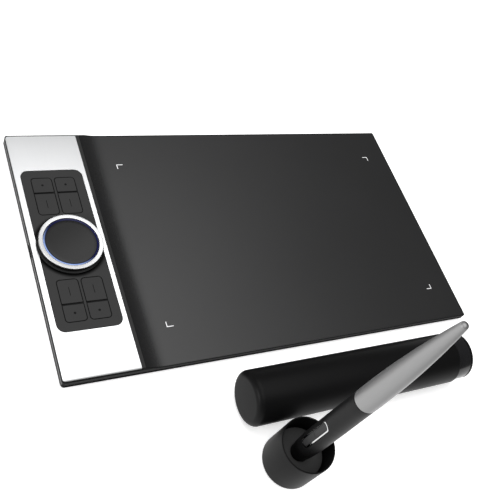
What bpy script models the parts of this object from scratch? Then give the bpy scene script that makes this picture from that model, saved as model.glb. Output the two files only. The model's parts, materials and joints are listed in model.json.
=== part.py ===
"""Pen drawing tablet with its dial, eight keys, pen, pen stand and pen case.

Lengths below are in millimetres. The scene is in metres, +Z up, and MM turns one into the other
where vertices and locations are made. The tablet lies flat on its four feet with its long side
along X. The stand and the case are on the same surface in front of it.
"""
import math

import bmesh
import bpy
from mathutils import Matrix, Vector

MM = 0.001

# Tablet housing: the corner at the left, front and bottom is the tablet's own zero.
TABLET_WIDTH = 281.0
TABLET_DEPTH = 162.0
FOOT_HEIGHT = 0.7
STRIP_TOP = 8.5
DRAWING_TOP = 6.3
PARTING = 4.45
WALL = 1.5
GAP = 0.3
CORNER_RADIUS = 2.0
COVER_RIGHT_CORNER = 1.0
STRIP_WIDTH = 42.9
RAMP_END = 60.0
UNDER_ROUNDING = 1.9
PLATE_THICKNESS = 0.9
PLATE_MARGINS = {"left": 0.3, "front": 0.6, "back": 1.7}
FILM_THICKNESS = 0.3
FILM_START = 45.4
FILM_MARGIN = 0.75

# Dial and key panel.
DIAL_X = 21.9
DIAL_Y = TABLET_DEPTH / 2
PANEL_WIDTH = 37.1
PANEL_DEPTH = 106.8
PANEL_CORNER = 5.0
DIAL_RADIUS = 18.2
DIAL_TOP = STRIP_TOP + 4.3
HUB_OPENING = 13.6
KEY_COLUMN = (0.6, 13.1)
KEY_INNER_ROW = (21.4, 36.75)
KEY_OUTER_ROW = (37.05, 47.95)
KEY_CLEARANCE = 0.5
KEY_TRAVEL = 0.5
KEY_CORNER = 2.3

# Pen, stand and case.
PEN_RADIUS = 6.2
PEN_TOP = 166.0
PEN_BUTTON_Z = 46.5
PEN_BUTTON_LENGTH = 27.4
PEN_BUTTON_WIDTH = 5.4
STAND_RADIUS = 15.5
STAND_WALL = 0.85
STAND_HEIGHT = 28.0
STAND_X = 112.0
STAND_Y = -64.0
CASE_RADIUS = 15.5
CASE_WALL = 2.1
CASE_LENGTH = 156.0
CASE_TUBE_LENGTH = 144.0
CASE_NECK_RADIUS = 14.4
CASE_X = 92.0
CASE_Y = -29.5

# The row's zero is under the middle of the whole set.
SET_FRONT = STAND_Y - STAND_RADIUS
TABLET_ZERO = (-TABLET_WIDTH / 2, -(TABLET_DEPTH + SET_FRONT) / 2, 0.0)

# finish: colour, roughness, metallic
FINISHES = {
    "silver": ((0.82, 0.83, 0.85), 0.28, 1.0),
    "polished": ((0.86, 0.87, 0.89), 0.12, 1.0),
    "pen_silver": ((0.48, 0.48, 0.49), 0.35, 1.0),
    "black_plastic": ((0.022, 0.022, 0.024), 0.5, 0.0),
    "key_plastic": ((0.035, 0.036, 0.038), 0.55, 0.0),
    "film": ((0.045, 0.045, 0.047), 0.7, 0.0),
    "gloss_black": ((0.008, 0.008, 0.009), 0.15, 0.0),
    "rubber": ((0.02, 0.02, 0.02), 0.85, 0.0),
    "light": ((0.12, 0.2, 0.65), 0.3, 0.0),
    "board": ((0.02, 0.12, 0.05), 0.5, 0.0),
    "steel": ((0.6, 0.6, 0.6), 0.3, 1.0),
    "foil": ((0.7, 0.7, 0.68), 0.4, 1.0),
    "copper": ((0.7, 0.3, 0.15), 0.35, 1.0),
    "amber": ((0.55, 0.28, 0.05), 0.45, 0.0),
    "white_plastic": ((0.75, 0.75, 0.73), 0.5, 0.0),
}


def clear_scene():
    for item in list(bpy.data.objects):
        bpy.data.objects.remove(item, do_unlink=True)


def make_finish(node, kind):
    colour, roughness, metallic = FINISHES[kind]
    material = bpy.data.materials.new(node + "_" + kind)
    material.use_nodes = True
    shader = material.node_tree.nodes["Principled BSDF"]
    shader.inputs["Base Color"].default_value = (*colour, 1.0)
    shader.inputs["Roughness"].default_value = roughness
    shader.inputs["Metallic"].default_value = metallic
    return material


def make_empty(name, location, parent=None, rotation=(0.0, 0.0, 0.0)):
    empty = bpy.data.objects.new(name, None)
    empty.location = Vector(location) * MM
    empty.rotation_euler = rotation
    empty.parent = parent
    bpy.context.scene.collection.objects.link(empty)
    return empty


def make_object(name, shape, kind, parent, location=(0.0, 0.0, 0.0), smooth=False):
    """Turn a bmesh in millimetres into a finished object in metres."""
    bmesh.ops.scale(shape, vec=(MM, MM, MM), verts=shape.verts)
    bmesh.ops.recalc_face_normals(shape, faces=shape.faces)
    mesh = bpy.data.meshes.new(name)
    shape.to_mesh(mesh)
    shape.free()
    if smooth:
        mesh.shade_smooth()
        mesh.set_sharp_from_angle(angle=math.radians(35))
    item = bpy.data.objects.new(name, mesh)
    item.location = Vector(location) * MM
    item.parent = parent
    if kind:
        mesh.materials.append(make_finish(name, kind))
    bpy.context.scene.collection.objects.link(item)
    return item


def make_guide(name, shape, parent, location=(0.0, 0.0, 0.0)):
    """A cutter: hidden from renders, drawn as wires, left out of the part."""
    guide = make_object(name, shape, None, parent, location)
    guide.hide_render = True
    guide.display_type = "WIRE"
    return guide


def combine(item, guide, operation="DIFFERENCE"):
    step = item.modifiers.new(guide.name, "BOOLEAN")
    step.operation = operation
    step.solver = "EXACT"
    step.object = guide


def join(*shapes):
    """Put several bmeshes into one, still as separate bodies."""
    whole = bmesh.new()
    for shape in shapes:
        mesh = bpy.data.meshes.new("join")
        shape.to_mesh(mesh)
        shape.free()
        whole.from_mesh(mesh)
        bpy.data.meshes.remove(mesh)
    return whole


def block(x, y, z, bevel=0.0):
    """A box between three pairs of coordinates, its vertical edges bevelled if asked."""
    shape = bmesh.new()
    bmesh.ops.create_cube(shape, size=1.0)
    size = (x[1] - x[0], y[1] - y[0], z[1] - z[0])
    middle = ((x[0] + x[1]) / 2, (y[0] + y[1]) / 2, (z[0] + z[1]) / 2)
    bmesh.ops.scale(shape, vec=size, verts=shape.verts)
    bmesh.ops.translate(shape, vec=middle, verts=shape.verts)
    if bevel:
        upright = [e for e in shape.edges if abs(e.verts[0].co.z - e.verts[1].co.z) > 1e-6]
        bmesh.ops.bevel(shape, geom=upright, offset=bevel, segments=2, affect="EDGES",
                        profile=0.5, material=-1)
    return shape


def rounded_outline(x, y, radii, steps):
    """Corner points of a rectangle, anticlockwise from its front left corner's arc.

    radii are those of the front left, front right, back right and back left corners.
    """
    corners = ((x[0], y[0], 1, 1, 180), (x[1], y[0], -1, 1, 270),
               (x[1], y[1], -1, -1, 0), (x[0], y[1], 1, -1, 90))
    points = []
    for (cx, cy, sx, sy, start), radius in zip(corners, radii):
        for step in range(steps + 1):
            angle = math.radians(start + 90 * step / steps)
            points.append((cx + radius * (sx + math.cos(angle)),
                           cy + radius * (sy + math.sin(angle))))
    return points


def slab(points, z, top_bevel=0.0, bottom_bevel=0.0, segments=1):
    """Raise an outline from z[0] to z[1], with a bevel along its top or bottom edge."""
    shape = bmesh.new()
    base = shape.faces.new([shape.verts.new((px, py, z[0])) for px, py in points])
    raised = bmesh.ops.extrude_face_region(shape, geom=[base])["geom"]
    top = [v for v in raised if isinstance(v, bmesh.types.BMVert)]
    bmesh.ops.translate(shape, vec=(0, 0, z[1] - z[0]), verts=top)
    for height, offset in ((z[1], top_bevel), (z[0], bottom_bevel)):
        if offset:
            rim = [e for e in shape.edges if all(abs(v.co.z - height) < 1e-5 for v in e.verts)]
            bmesh.ops.bevel(shape, geom=rim, offset=offset, segments=segments, affect="EDGES",
                            profile=0.5, material=-1)
    return shape


def upright_sheet(points, y):
    """Extrude an outline of (x, z) points from y[0] to y[1]."""
    shape = bmesh.new()
    end = shape.faces.new([shape.verts.new((px, y[0], pz)) for px, pz in points])
    raised = bmesh.ops.extrude_face_region(shape, geom=[end])["geom"]
    bmesh.ops.translate(shape, vec=(0, y[1] - y[0], 0),
                        verts=[v for v in raised if isinstance(v, bmesh.types.BMVert)])
    return shape


def bar_along_x(points, reach):
    """Extrude an outline of (y, z) points from reach[0] to reach[1] along X."""
    shape = slab(points, reach)
    turn = Matrix(((0, 0, 1), (1, 0, 0), (0, 1, 0))).to_4x4()
    bmesh.ops.transform(shape, matrix=turn, verts=shape.verts)
    return shape


def stadium(length, width, steps=6):
    """A slot outline, long along its first axis, centred on zero."""
    half = (length - width) / 2
    points = []
    for side, start in ((1, -90), (-1, 90)):
        for step in range(steps + 1):
            angle = math.radians(start + 180 * step / steps)
            points.append((side * half + width / 2 * math.cos(angle), width / 2 * math.sin(angle)))
    return points


def turned(outline, steps):
    """Turn a closed outline of (radius, height) points about Z."""
    shape = bmesh.new()
    ring = [shape.verts.new((radius, 0.0, height)) for radius, height in outline]
    edges = []
    for start, end in zip(ring, ring[1:] + ring[:1]):
        on_axis = start.co.x < 1e-6 and end.co.x < 1e-6
        if not on_axis:
            edges.append(shape.edges.new((start, end)))
    bmesh.ops.spin(shape, geom=ring + edges, cent=(0, 0, 0), axis=(0, 0, 1), dvec=(0, 0, 0),
                   angle=math.tau, steps=steps, use_merge=True, use_duplicate=False)
    bmesh.ops.remove_doubles(shape, verts=shape.verts, dist=1e-4)
    return shape


def disc(radius, z, centre=(0.0, 0.0), steps=12):
    """A plain round bar or washer blank between two heights."""
    shape = bmesh.new()
    bmesh.ops.create_cone(shape, cap_ends=True, segments=steps, radius1=radius, radius2=radius,
                          depth=z[1] - z[0])
    bmesh.ops.translate(shape, vec=(*centre, (z[0] + z[1]) / 2), verts=shape.verts)
    return shape


def arc(centre, radius, start, end, steps):
    """Points along an arc, angles in degrees."""
    points = []
    for step in range(steps + 1):
        angle = math.radians(start + (end - start) * step / steps)
        points.append((centre[0] + radius * math.cos(angle), centre[1] + radius * math.sin(angle)))
    return points


# ---------------------------------------------------------------- tablet housing

SOCKET_WIDTH = 8.94
SOCKET_HEIGHT = 3.26
SOCKET_Z = 4.1
COVER_FLOOR = 6.1
COVER_DECK = STRIP_TOP - PLATE_THICKNESS - GAP
BOARD_Z = (2.9, 3.7)
SCREW_PLACES = [(8.0, 8.0), (8.0, 154.0), (276.6, 8.0), (276.6, 154.0)]
FOOT_PLACES = [(30.0, 14.0), (30.0, 148.0), (250.0, 14.0), (250.0, 148.0)]
FOOT_SIZE = (24.0, 8.0)
MAT_OUTLINE = [(6.5, 31.0), (37.5, 31.0), (37.5, 61.0), (14.5, 61.0), (14.5, 101.0), (37.5, 101.0),
               (37.5, 131.0), (6.5, 131.0), (6.5, 101.0), (10.5, 101.0), (10.5, 61.0), (6.5, 61.0)]
DIAL_SCREW_CIRCLE = 4.6
DIAL_SCREW_ANGLES = (90, 210, 330)


def housing_outline(right_corner):
    return rounded_outline((0.0, TABLET_WIDTH), (0.0, TABLET_DEPTH),
                           [CORNER_RADIUS, right_corner, right_corner, CORNER_RADIUS], 3)


def socket_notch():
    reach = (-1.0, WALL + 1.0)
    wide = (DIAL_Y - SOCKET_WIDTH / 2 - GAP, DIAL_Y + SOCKET_WIDTH / 2 + GAP)
    high = (SOCKET_Z - SOCKET_HEIGHT / 2 - GAP, SOCKET_Z + SOCKET_HEIGHT / 2 + GAP)
    return block(reach, wide, high)


def make_bottom_case(tablet):
    shape = slab(housing_outline(CORNER_RADIUS), (FOOT_HEIGHT, PARTING - GAP / 2),
                 bottom_bevel=UNDER_ROUNDING, segments=3)
    lid = max(shape.faces, key=lambda face: face.calc_center_median().z)
    bmesh.ops.inset_region(shape, faces=[lid], thickness=WALL)
    sunk = bmesh.ops.extrude_face_region(shape, geom=[lid])["geom"]
    floor = [v for v in sunk if isinstance(v, bmesh.types.BMVert)]
    bmesh.ops.delete(shape, geom=[lid], context="FACES_ONLY")
    inside_floor = FOOT_HEIGHT + 1.2
    for vertex in floor:
        vertex.co.z = inside_floor
    case = make_object("bottom_case", shape, "black_plastic", tablet)
    cuts = [socket_notch()]
    for x, y in SCREW_PLACES:
        cuts.append(disc(2.2, (0.0, 1.4), (x, y)))
        cuts.append(disc(1.1, (1.2, 3.0), (x, y)))
    for x, y in FOOT_PLACES:
        cuts.append(block((x - FOOT_SIZE[0] / 2 - GAP, x + FOOT_SIZE[0] / 2 + GAP),
                          (y - FOOT_SIZE[1] / 2 - GAP, y + FOOT_SIZE[1] / 2 + GAP),
                          (0.0, FOOT_HEIGHT + 0.5), bevel=2.0))
    for number, cut in enumerate(cuts):
        combine(case, make_guide("bottom_cut_%02d" % number, cut, tablet))
    return case


RIDGE_END = STRIP_WIDTH + 2.1
RIDGE_TOP = STRIP_TOP - 0.1
RAMP_EASE = 2.2
END_SLOPE = 1.2


def ramp_line(start, drop, steps=7):
    """Points down the ramp from x = start to its foot, so far below the drawing surface's skin."""
    points = []
    for step in range(steps + 1):
        x = start + (RAMP_END - start) * step / steps
        along = (RAMP_END - x) / (RAMP_END - RIDGE_END)
        points.append((x, DRAWING_TOP + (RIDGE_TOP - DRAWING_TOP) * along ** RAMP_EASE - drop))
    return points


def cover_profile():
    """Outline of the top cover seen from the front."""
    low = PARTING + GAP / 2
    return ([(0.0, low), (0.0, RIDGE_TOP)] + ramp_line(RIDGE_END, 0.0)
            + [(TABLET_WIDTH - 0.5, DRAWING_TOP), (TABLET_WIDTH, DRAWING_TOP - 0.5), (TABLET_WIDTH, low)])


def key_frames():
    """Each key's name, centre on the tablet, half sizes, and the way its rounder end faces."""
    frames = []
    number = 0
    for side_y in (1, -1):
        for side_x in (-1, 1):
            for row in (KEY_OUTER_ROW, KEY_INNER_ROW):
                number += 1
                centre = (DIAL_X + side_x * sum(KEY_COLUMN) / 2, DIAL_Y + side_y * sum(row) / 2)
                half = ((KEY_COLUMN[1] - KEY_COLUMN[0]) / 2, (row[1] - row[0]) / 2)
                toward_end = side_y if row is KEY_OUTER_ROW else -side_y
                frames.append(("key_%d" % number, centre, half, toward_end))
    return frames


def key_outline(half, toward_end, inset):
    """A key's outline about its centre, its two corners away from the split rounder."""
    soft, tight = KEY_CORNER - inset, 0.35
    radii = [tight, tight, soft, soft] if toward_end > 0 else [soft, soft, tight, tight]
    return rounded_outline((-half[0] + inset, half[0] - inset), (-half[1] + inset, half[1] - inset),
                           radii, 3)


def cut_end_slopes(item, tablet):
    """Bevel what stands above the deck at the front and back ends of the ridge and the ramp."""
    past = 5.0
    for end, (y, way) in enumerate(((0.0, 1), (TABLET_DEPTH, -1))):
        slope = [(y - way * past, COVER_DECK), (y, COVER_DECK), (y + way * END_SLOPE, RIDGE_TOP),
                 (y + way * END_SLOPE, RIDGE_TOP + past), (y - way * past, RIDGE_TOP + past)]
        bar = bar_along_x(slope, (STRIP_WIDTH, RAMP_END))
        combine(item, make_guide("%s_end_slope_%d" % (item.name, end), bar, tablet))


def make_top_cover(tablet):
    shape = upright_sheet(cover_profile(), (0.0, TABLET_DEPTH))
    cover = make_object("top_cover", shape, "black_plastic", tablet)

    below = PARTING - 2.0
    inner_y = (WALL, TABLET_DEPTH - WALL)
    outline = slab(housing_outline(COVER_RIGHT_CORNER), (below, STRIP_TOP + 3.0))
    combine(cover, make_guide("cover_outline", outline, tablet), "INTERSECT")
    pockets = [
        block((WALL, STRIP_WIDTH - 0.9), inner_y, (below, COVER_FLOOR)),
        block((STRIP_WIDTH - 1.9, TABLET_WIDTH - WALL), inner_y, (below, 5.0)),
    ]
    for number, pocket in enumerate(pockets):
        combine(cover, make_guide("cover_pocket_%d" % number, pocket, tablet))
    bosses = []
    for x, y in SCREW_PLACES:
        ceiling = COVER_FLOOR if x < STRIP_WIDTH else 5.0
        bosses.append(disc(2.1, (2.2, ceiling + 0.2), (x, y)))
    combine(cover, make_guide("cover_bosses", join(*bosses), tablet), "UNION")

    holes = [socket_notch(), disc(2.6, (5.0, 8.0), (DIAL_X, DIAL_Y))]
    for x, y in SCREW_PLACES:
        holes.append(disc(1.05, (1.0, 4.6), (x, y)))
    for angle in DIAL_SCREW_ANGLES:
        holes.append(disc(1.1, (5.0, 8.0), dial_screw_place(angle)))
    for _, (x, y), _, _ in key_frames():
        holes.append(block((x - 2.0, x + 2.0), (y - 2.0, y + 2.0), (5.0, 8.0)))
    combine(cover, make_guide("cover_holes", join(*holes), tablet))
    past = 5.0
    seat = block((-past, STRIP_WIDTH + GAP), (-past, TABLET_DEPTH + past), (COVER_DECK, STRIP_TOP + past))
    combine(cover, make_guide("cover_plate_seat", seat, tablet))
    cut_end_slopes(cover, tablet)
    margin = FILM_MARGIN - GAP / 2
    recess = (ramp_line(FILM_START - GAP / 2, FILM_THICKNESS + GAP)
              + [(TABLET_WIDTH - margin, DRAWING_TOP - FILM_THICKNESS - GAP),
                 (TABLET_WIDTH - margin, STRIP_TOP + past), (FILM_START - GAP / 2, STRIP_TOP + past)])
    combine(cover, make_guide("cover_film_recess", upright_sheet(recess, (margin, TABLET_DEPTH - margin)),
                              tablet))
    return cover


def make_drawing_film(tablet):
    """One thin skin, up the ramp and over the whole drawing surface."""
    skin = (ramp_line(FILM_START, 0.0) + [(TABLET_WIDTH - FILM_MARGIN, DRAWING_TOP),
                                          (TABLET_WIDTH - FILM_MARGIN, DRAWING_TOP - FILM_THICKNESS)]
            + ramp_line(FILM_START, FILM_THICKNESS)[::-1])
    film = make_object("drawing_film", upright_sheet(skin, (FILM_MARGIN, TABLET_DEPTH - FILM_MARGIN)),
                       "film", tablet)
    cut_end_slopes(film, tablet)
    return film


def make_silver_plate(tablet):
    """The strip's metal plate, with a narrow ledge of the cover round three of its sides."""
    corner = CORNER_RADIUS - PLATE_MARGINS["left"]
    outline = rounded_outline((PLATE_MARGINS["left"], STRIP_WIDTH),
                              (PLATE_MARGINS["front"], TABLET_DEPTH - PLATE_MARGINS["back"]),
                              [corner, 0.4, 0.4, corner], 3)
    shape = slab(outline, (STRIP_TOP - PLATE_THICKNESS, STRIP_TOP), top_bevel=0.3)
    plate = make_object("silver_plate", shape, "silver", tablet)
    window = slab(panel_outline(0.0), (STRIP_TOP - 2.0, STRIP_TOP + 1.0))
    combine(plate, make_guide("plate_window", window, tablet))
    return plate


def panel_outline(inset):
    return rounded_outline((DIAL_X - PANEL_WIDTH / 2 + inset, DIAL_X + PANEL_WIDTH / 2 - inset),
                           (DIAL_Y - PANEL_DEPTH / 2 + inset, DIAL_Y + PANEL_DEPTH / 2 - inset),
                           [PANEL_CORNER - inset] * 4, 4)


def make_key_bezel(tablet):
    height = (STRIP_TOP - PLATE_THICKNESS, STRIP_TOP - 0.1)
    bezel = make_object("key_bezel", slab(panel_outline(GAP), height), "key_plastic", tablet)
    holes = [disc(HUB_OPENING, (6.0, 10.0), (DIAL_X, DIAL_Y), steps=36)]
    for side_x in (-1, 1):
        for side_y in (-1, 1):
            x = sorted(DIAL_X + side_x * edge for edge in KEY_COLUMN)
            y = sorted(DIAL_Y + side_y * edge for edge in (KEY_INNER_ROW[0], KEY_OUTER_ROW[1]))
            holes.append(slab(rounded_outline(x, y, [KEY_CORNER] * 4, 3), (6.0, 10.0)))
    combine(bezel, make_guide("bezel_holes", join(*holes), tablet))
    return bezel


def make_keys(tablet):
    top = STRIP_TOP - 0.1
    underside = COVER_DECK + KEY_TRAVEL + 0.1
    for name, (x, y), half, toward_end in key_frames():
        cap = slab(key_outline(half, toward_end, KEY_CLEARANCE), (underside, top), top_bevel=0.15)
        key = make_object(name, cap, "key_plastic", tablet, (x, y, 0.0))
        stem = block((-1.5, 1.5), (-1.5, 1.5), (5.3, underside + 0.3))
        combine(key, make_guide(name + "_stem", stem, tablet, (x, y, 0.0)), "UNION")


def make_electronics(tablet):
    board = slab(rounded_outline((3.0, 40.5), (20.0, 142.0), [1.0] * 4, 2), BOARD_Z)
    main_board = make_object("main_board", board, "board", tablet)
    socket_bay = block((0.0, 9.0), (DIAL_Y - SOCKET_WIDTH / 2 - GAP, DIAL_Y + SOCKET_WIDTH / 2 + GAP),
                       (2.0, 5.0))
    combine(main_board, make_guide("board_bay", socket_bay, tablet))

    mat = make_object("dome_mat", slab(MAT_OUTLINE, (4.0, 4.2)), "rubber", tablet)
    domes = []
    for _, (x, y), _, _ in key_frames():
        dome = bmesh.new()
        bmesh.ops.create_cone(dome, cap_ends=True, segments=12, radius1=3.2, radius2=1.8, depth=0.6)
        bmesh.ops.translate(dome, vec=(x, y, 4.4), verts=dome.verts)
        domes.append(dome)
    combine(mat, make_guide("mat_domes", join(*domes), tablet), "UNION")
    make_object("shield_can", block((26.0, 37.0), (67.0, 95.0), (4.0, 5.0), bevel=0.8), "steel", tablet)
    make_object("controller_chip", block((17.0, 23.0), (65.0, 71.0), (4.0, 4.8)), "gloss_black", tablet)

    antenna = slab(rounded_outline((60.0, 271.0), (12.0, 150.0), [1.5] * 4, 2), BOARD_Z)
    make_object("antenna_board", antenna, "board", tablet)
    shield = slab(rounded_outline((61.0, 270.0), (13.0, 149.0), [1.5] * 4, 2), (2.2, 2.6))
    make_object("shield_sheet", shield, "foil", tablet)
    make_object("board_link", block((38.0, 66.0), (76.0, 90.0), (4.0, 4.2)), "amber", tablet)


def make_socket(tablet):
    def socket_slab(inset, x):
        points = stadium(SOCKET_WIDTH - 2 * inset, SOCKET_HEIGHT - 2 * inset)
        shape = bar_along_x(points, x)
        bmesh.ops.translate(shape, vec=(0, DIAL_Y, SOCKET_Z), verts=shape.verts)
        return shape

    shell = make_object("usb_shell", socket_slab(0.0, (0.4, 8.0)), "steel", tablet)
    combine(shell, make_guide("socket_bore", socket_slab(0.35, (0.0, 7.6)), tablet))
    tongue = block((1.8, 7.2), (DIAL_Y - 3.3, DIAL_Y + 3.3), (SOCKET_Z - 0.35, SOCKET_Z + 0.35))
    make_object("usb_tongue", tongue, "gloss_black", tablet)


def make_fasteners_and_feet(tablet):
    for number, (x, y) in enumerate(SCREW_PLACES, start=1):
        screw = turned([(0, 0.8), (1.8, 0.8), (1.8, 1.1), (0.75, 1.1), (0.75, 4.2), (0, 4.2)], 12)
        make_object("case_screw_%d" % number, screw, "steel", tablet, (x, y, 0.0))
    for number, (x, y) in enumerate(FOOT_PLACES, start=1):
        half_x, half_y = FOOT_SIZE[0] / 2, FOOT_SIZE[1] / 2
        outline = rounded_outline((-half_x, half_x), (-half_y, half_y), [1.8] * 4, 3)
        make_object("foot_%d" % number, slab(outline, (0.0, FOOT_HEIGHT + 0.2), bottom_bevel=0.2),
                    "rubber", tablet, (x, y, 0.0))


# ---------------------------------------------------------------- dial

WHEEL_WEB = (8.9, 10.2)
WHEEL_SKIRT = 19.0
RING_BORE = 15.8
LIGHT_RADIUS = 15.5
POST_RADIUS = 6.6
TOUCH_RADIUS = 14.4
TOUCH_TOP = DIAL_TOP - 0.3


def dial_screw_place(angle):
    turn = math.radians(angle)
    return (DIAL_X + DIAL_SCREW_CIRCLE * math.cos(turn), DIAL_Y + DIAL_SCREW_CIRCLE * math.sin(turn))


def make_dial(tablet):
    axis = make_empty("dial_axis", (DIAL_X, DIAL_Y, 0.0), tablet)
    rim = DIAL_RADIUS - 0.2
    groove = WHEEL_SKIRT - 1.4
    under_ring = DIAL_TOP - 1.2
    wheel = [(7.0, 7.7), (9.2, 7.7), (9.2, WHEEL_WEB[0]), (17.0, WHEEL_WEB[0]), (17.0, 8.65),
             (WHEEL_SKIRT, 8.65), (WHEEL_SKIRT, 9.4), (groove, 9.7), (groove, 10.4), (rim, 10.7),
             (rim, under_ring), (RING_BORE + 0.1, under_ring), (RING_BORE + 0.1, WHEEL_WEB[1]),
             (7.0, WHEEL_WEB[1])]
    make_object("dial_wheel", turned(wheel, 48), "black_plastic", axis, smooth=True)
    ring = [(RING_BORE, DIAL_TOP - 0.9), (DIAL_RADIUS, DIAL_TOP - 0.9), (DIAL_RADIUS, DIAL_TOP - 0.4),
            (DIAL_RADIUS - 0.4, DIAL_TOP), (RING_BORE + 0.2, DIAL_TOP), (RING_BORE, DIAL_TOP - 0.2)]
    make_object("dial_ring", turned(ring, 48), "polished", axis, smooth=True)
    magnet = [(10.0, 8.2), (12.5, 8.2), (12.5, 8.6), (10.0, 8.6)]
    make_object("encoder_magnet", turned(magnet, 32), "steel", axis)

    make_object("encoder_board", turned([(9.8, 7.5), (13.0, 7.5), (13.0, 7.9), (9.8, 7.9)], 32), "board",
                axis)
    post = make_object("dial_post", turned([(2.6, 7.6), (POST_RADIUS, 7.6), (POST_RADIUS, 10.5),
                                            (13.2, 10.5), (13.2, 11.0), (2.6, 11.0)], 32),
                       "black_plastic", axis)
    pilots = [disc(0.95, (7.0, 9.8), tuple(Vector(dial_screw_place(a)) - Vector((DIAL_X, DIAL_Y))))
              for a in DIAL_SCREW_ANGLES]
    combine(post, make_guide("post_pilots", join(*pilots), axis))
    for number, angle in enumerate(DIAL_SCREW_ANGLES, start=1):
        screw = turned([(0, 5.4), (1.4, 5.4), (1.4, 5.8), (0.7, 5.8), (0.7, 9.4), (0, 9.4)], 10)
        make_object("dial_screw_%d" % number, screw, "steel", tablet, (*dial_screw_place(angle), 0.0))
    make_object("touch_board", turned([(0, 11.3), (13.2, 11.3), (13.2, 11.7), (0, 11.7)], 32), "board", axis)
    disc_profile = [(0, 12.0), (TOUCH_RADIUS, 12.0), (TOUCH_RADIUS, TOUCH_TOP - 0.1),
                    (TOUCH_RADIUS - 0.2, TOUCH_TOP), (0, TOUCH_TOP - 0.05)]
    make_object("touch_disc", turned(disc_profile, 48), "key_plastic", axis, smooth=True)
    bore = TOUCH_RADIUS + 0.2
    light = [(bore, 11.3), (LIGHT_RADIUS, 11.3), (LIGHT_RADIUS, DIAL_TOP - 0.2),
             (LIGHT_RADIUS - 0.2, DIAL_TOP - 0.2), (bore, TOUCH_TOP - 0.3)]
    make_object("light_ring", turned(light, 48), "light", axis, smooth=True)
    flex = block((-0.15, 0.15), (-1.5, 1.5), (4.0, 11.0))
    link = make_object("dial_flex", flex, "amber", axis)
    foot = block((-7.0, 0.0), (-1.5, 1.5), (4.0, 4.3))
    combine(link, make_guide("dial_flex_foot", foot, axis), "UNION")


# ---------------------------------------------------------------- pen and stand

NIB_TIP = 3.4


def make_stand(table):
    inner = STAND_RADIUS - STAND_WALL
    cup = ([(0, 1.1), (13.9, 1.1), (13.9, 0.4)]
           + arc((STAND_RADIUS - 1.4, 1.8), 1.4, -90, 0, 3)
           + [(STAND_RADIUS, STAND_HEIGHT - 0.25), (STAND_RADIUS - 0.25, STAND_HEIGHT),
              (inner + 0.25, STAND_HEIGHT), (inner, STAND_HEIGHT - 0.25), (inner, 2.6), (0, 2.6)])
    make_object("stand_cup", turned(cup, 36), "black_plastic", table, smooth=True)
    socket = [(2.0, 2.9), (13.9, 2.9), (13.9, 15.6), (13.5, 16.0), (nose_radius(16.0) + 0.4, 16.0),
              (nose_radius(11.0) + 0.4, 11.0), (2.0, 6.6)]
    make_object("stand_insert", turned(socket, 36), "rubber", table, smooth=True)
    make_object("stand_pad", turned([(0, 0), (13.4, 0), (13.4, 0.8), (0, 0.8)], 36), "rubber", table)


def nose_radius(height):
    """The nose's outer radius: an ogive from the nib's mouth to the barrel."""
    along = (height - 5.9) / 20.1
    return 1.5 + 4.5 * math.sin(math.pi / 2 * min(max(along, 0.0), 1.0)) ** 0.85


def tail_radius(height):
    """The tail's outer radius: a long easing taper up to its tip."""
    along = (height - 88.3) / (PEN_TOP - 1.0 - 88.3)
    return PEN_RADIUS - 4.3 * along ** 2.1


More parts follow.
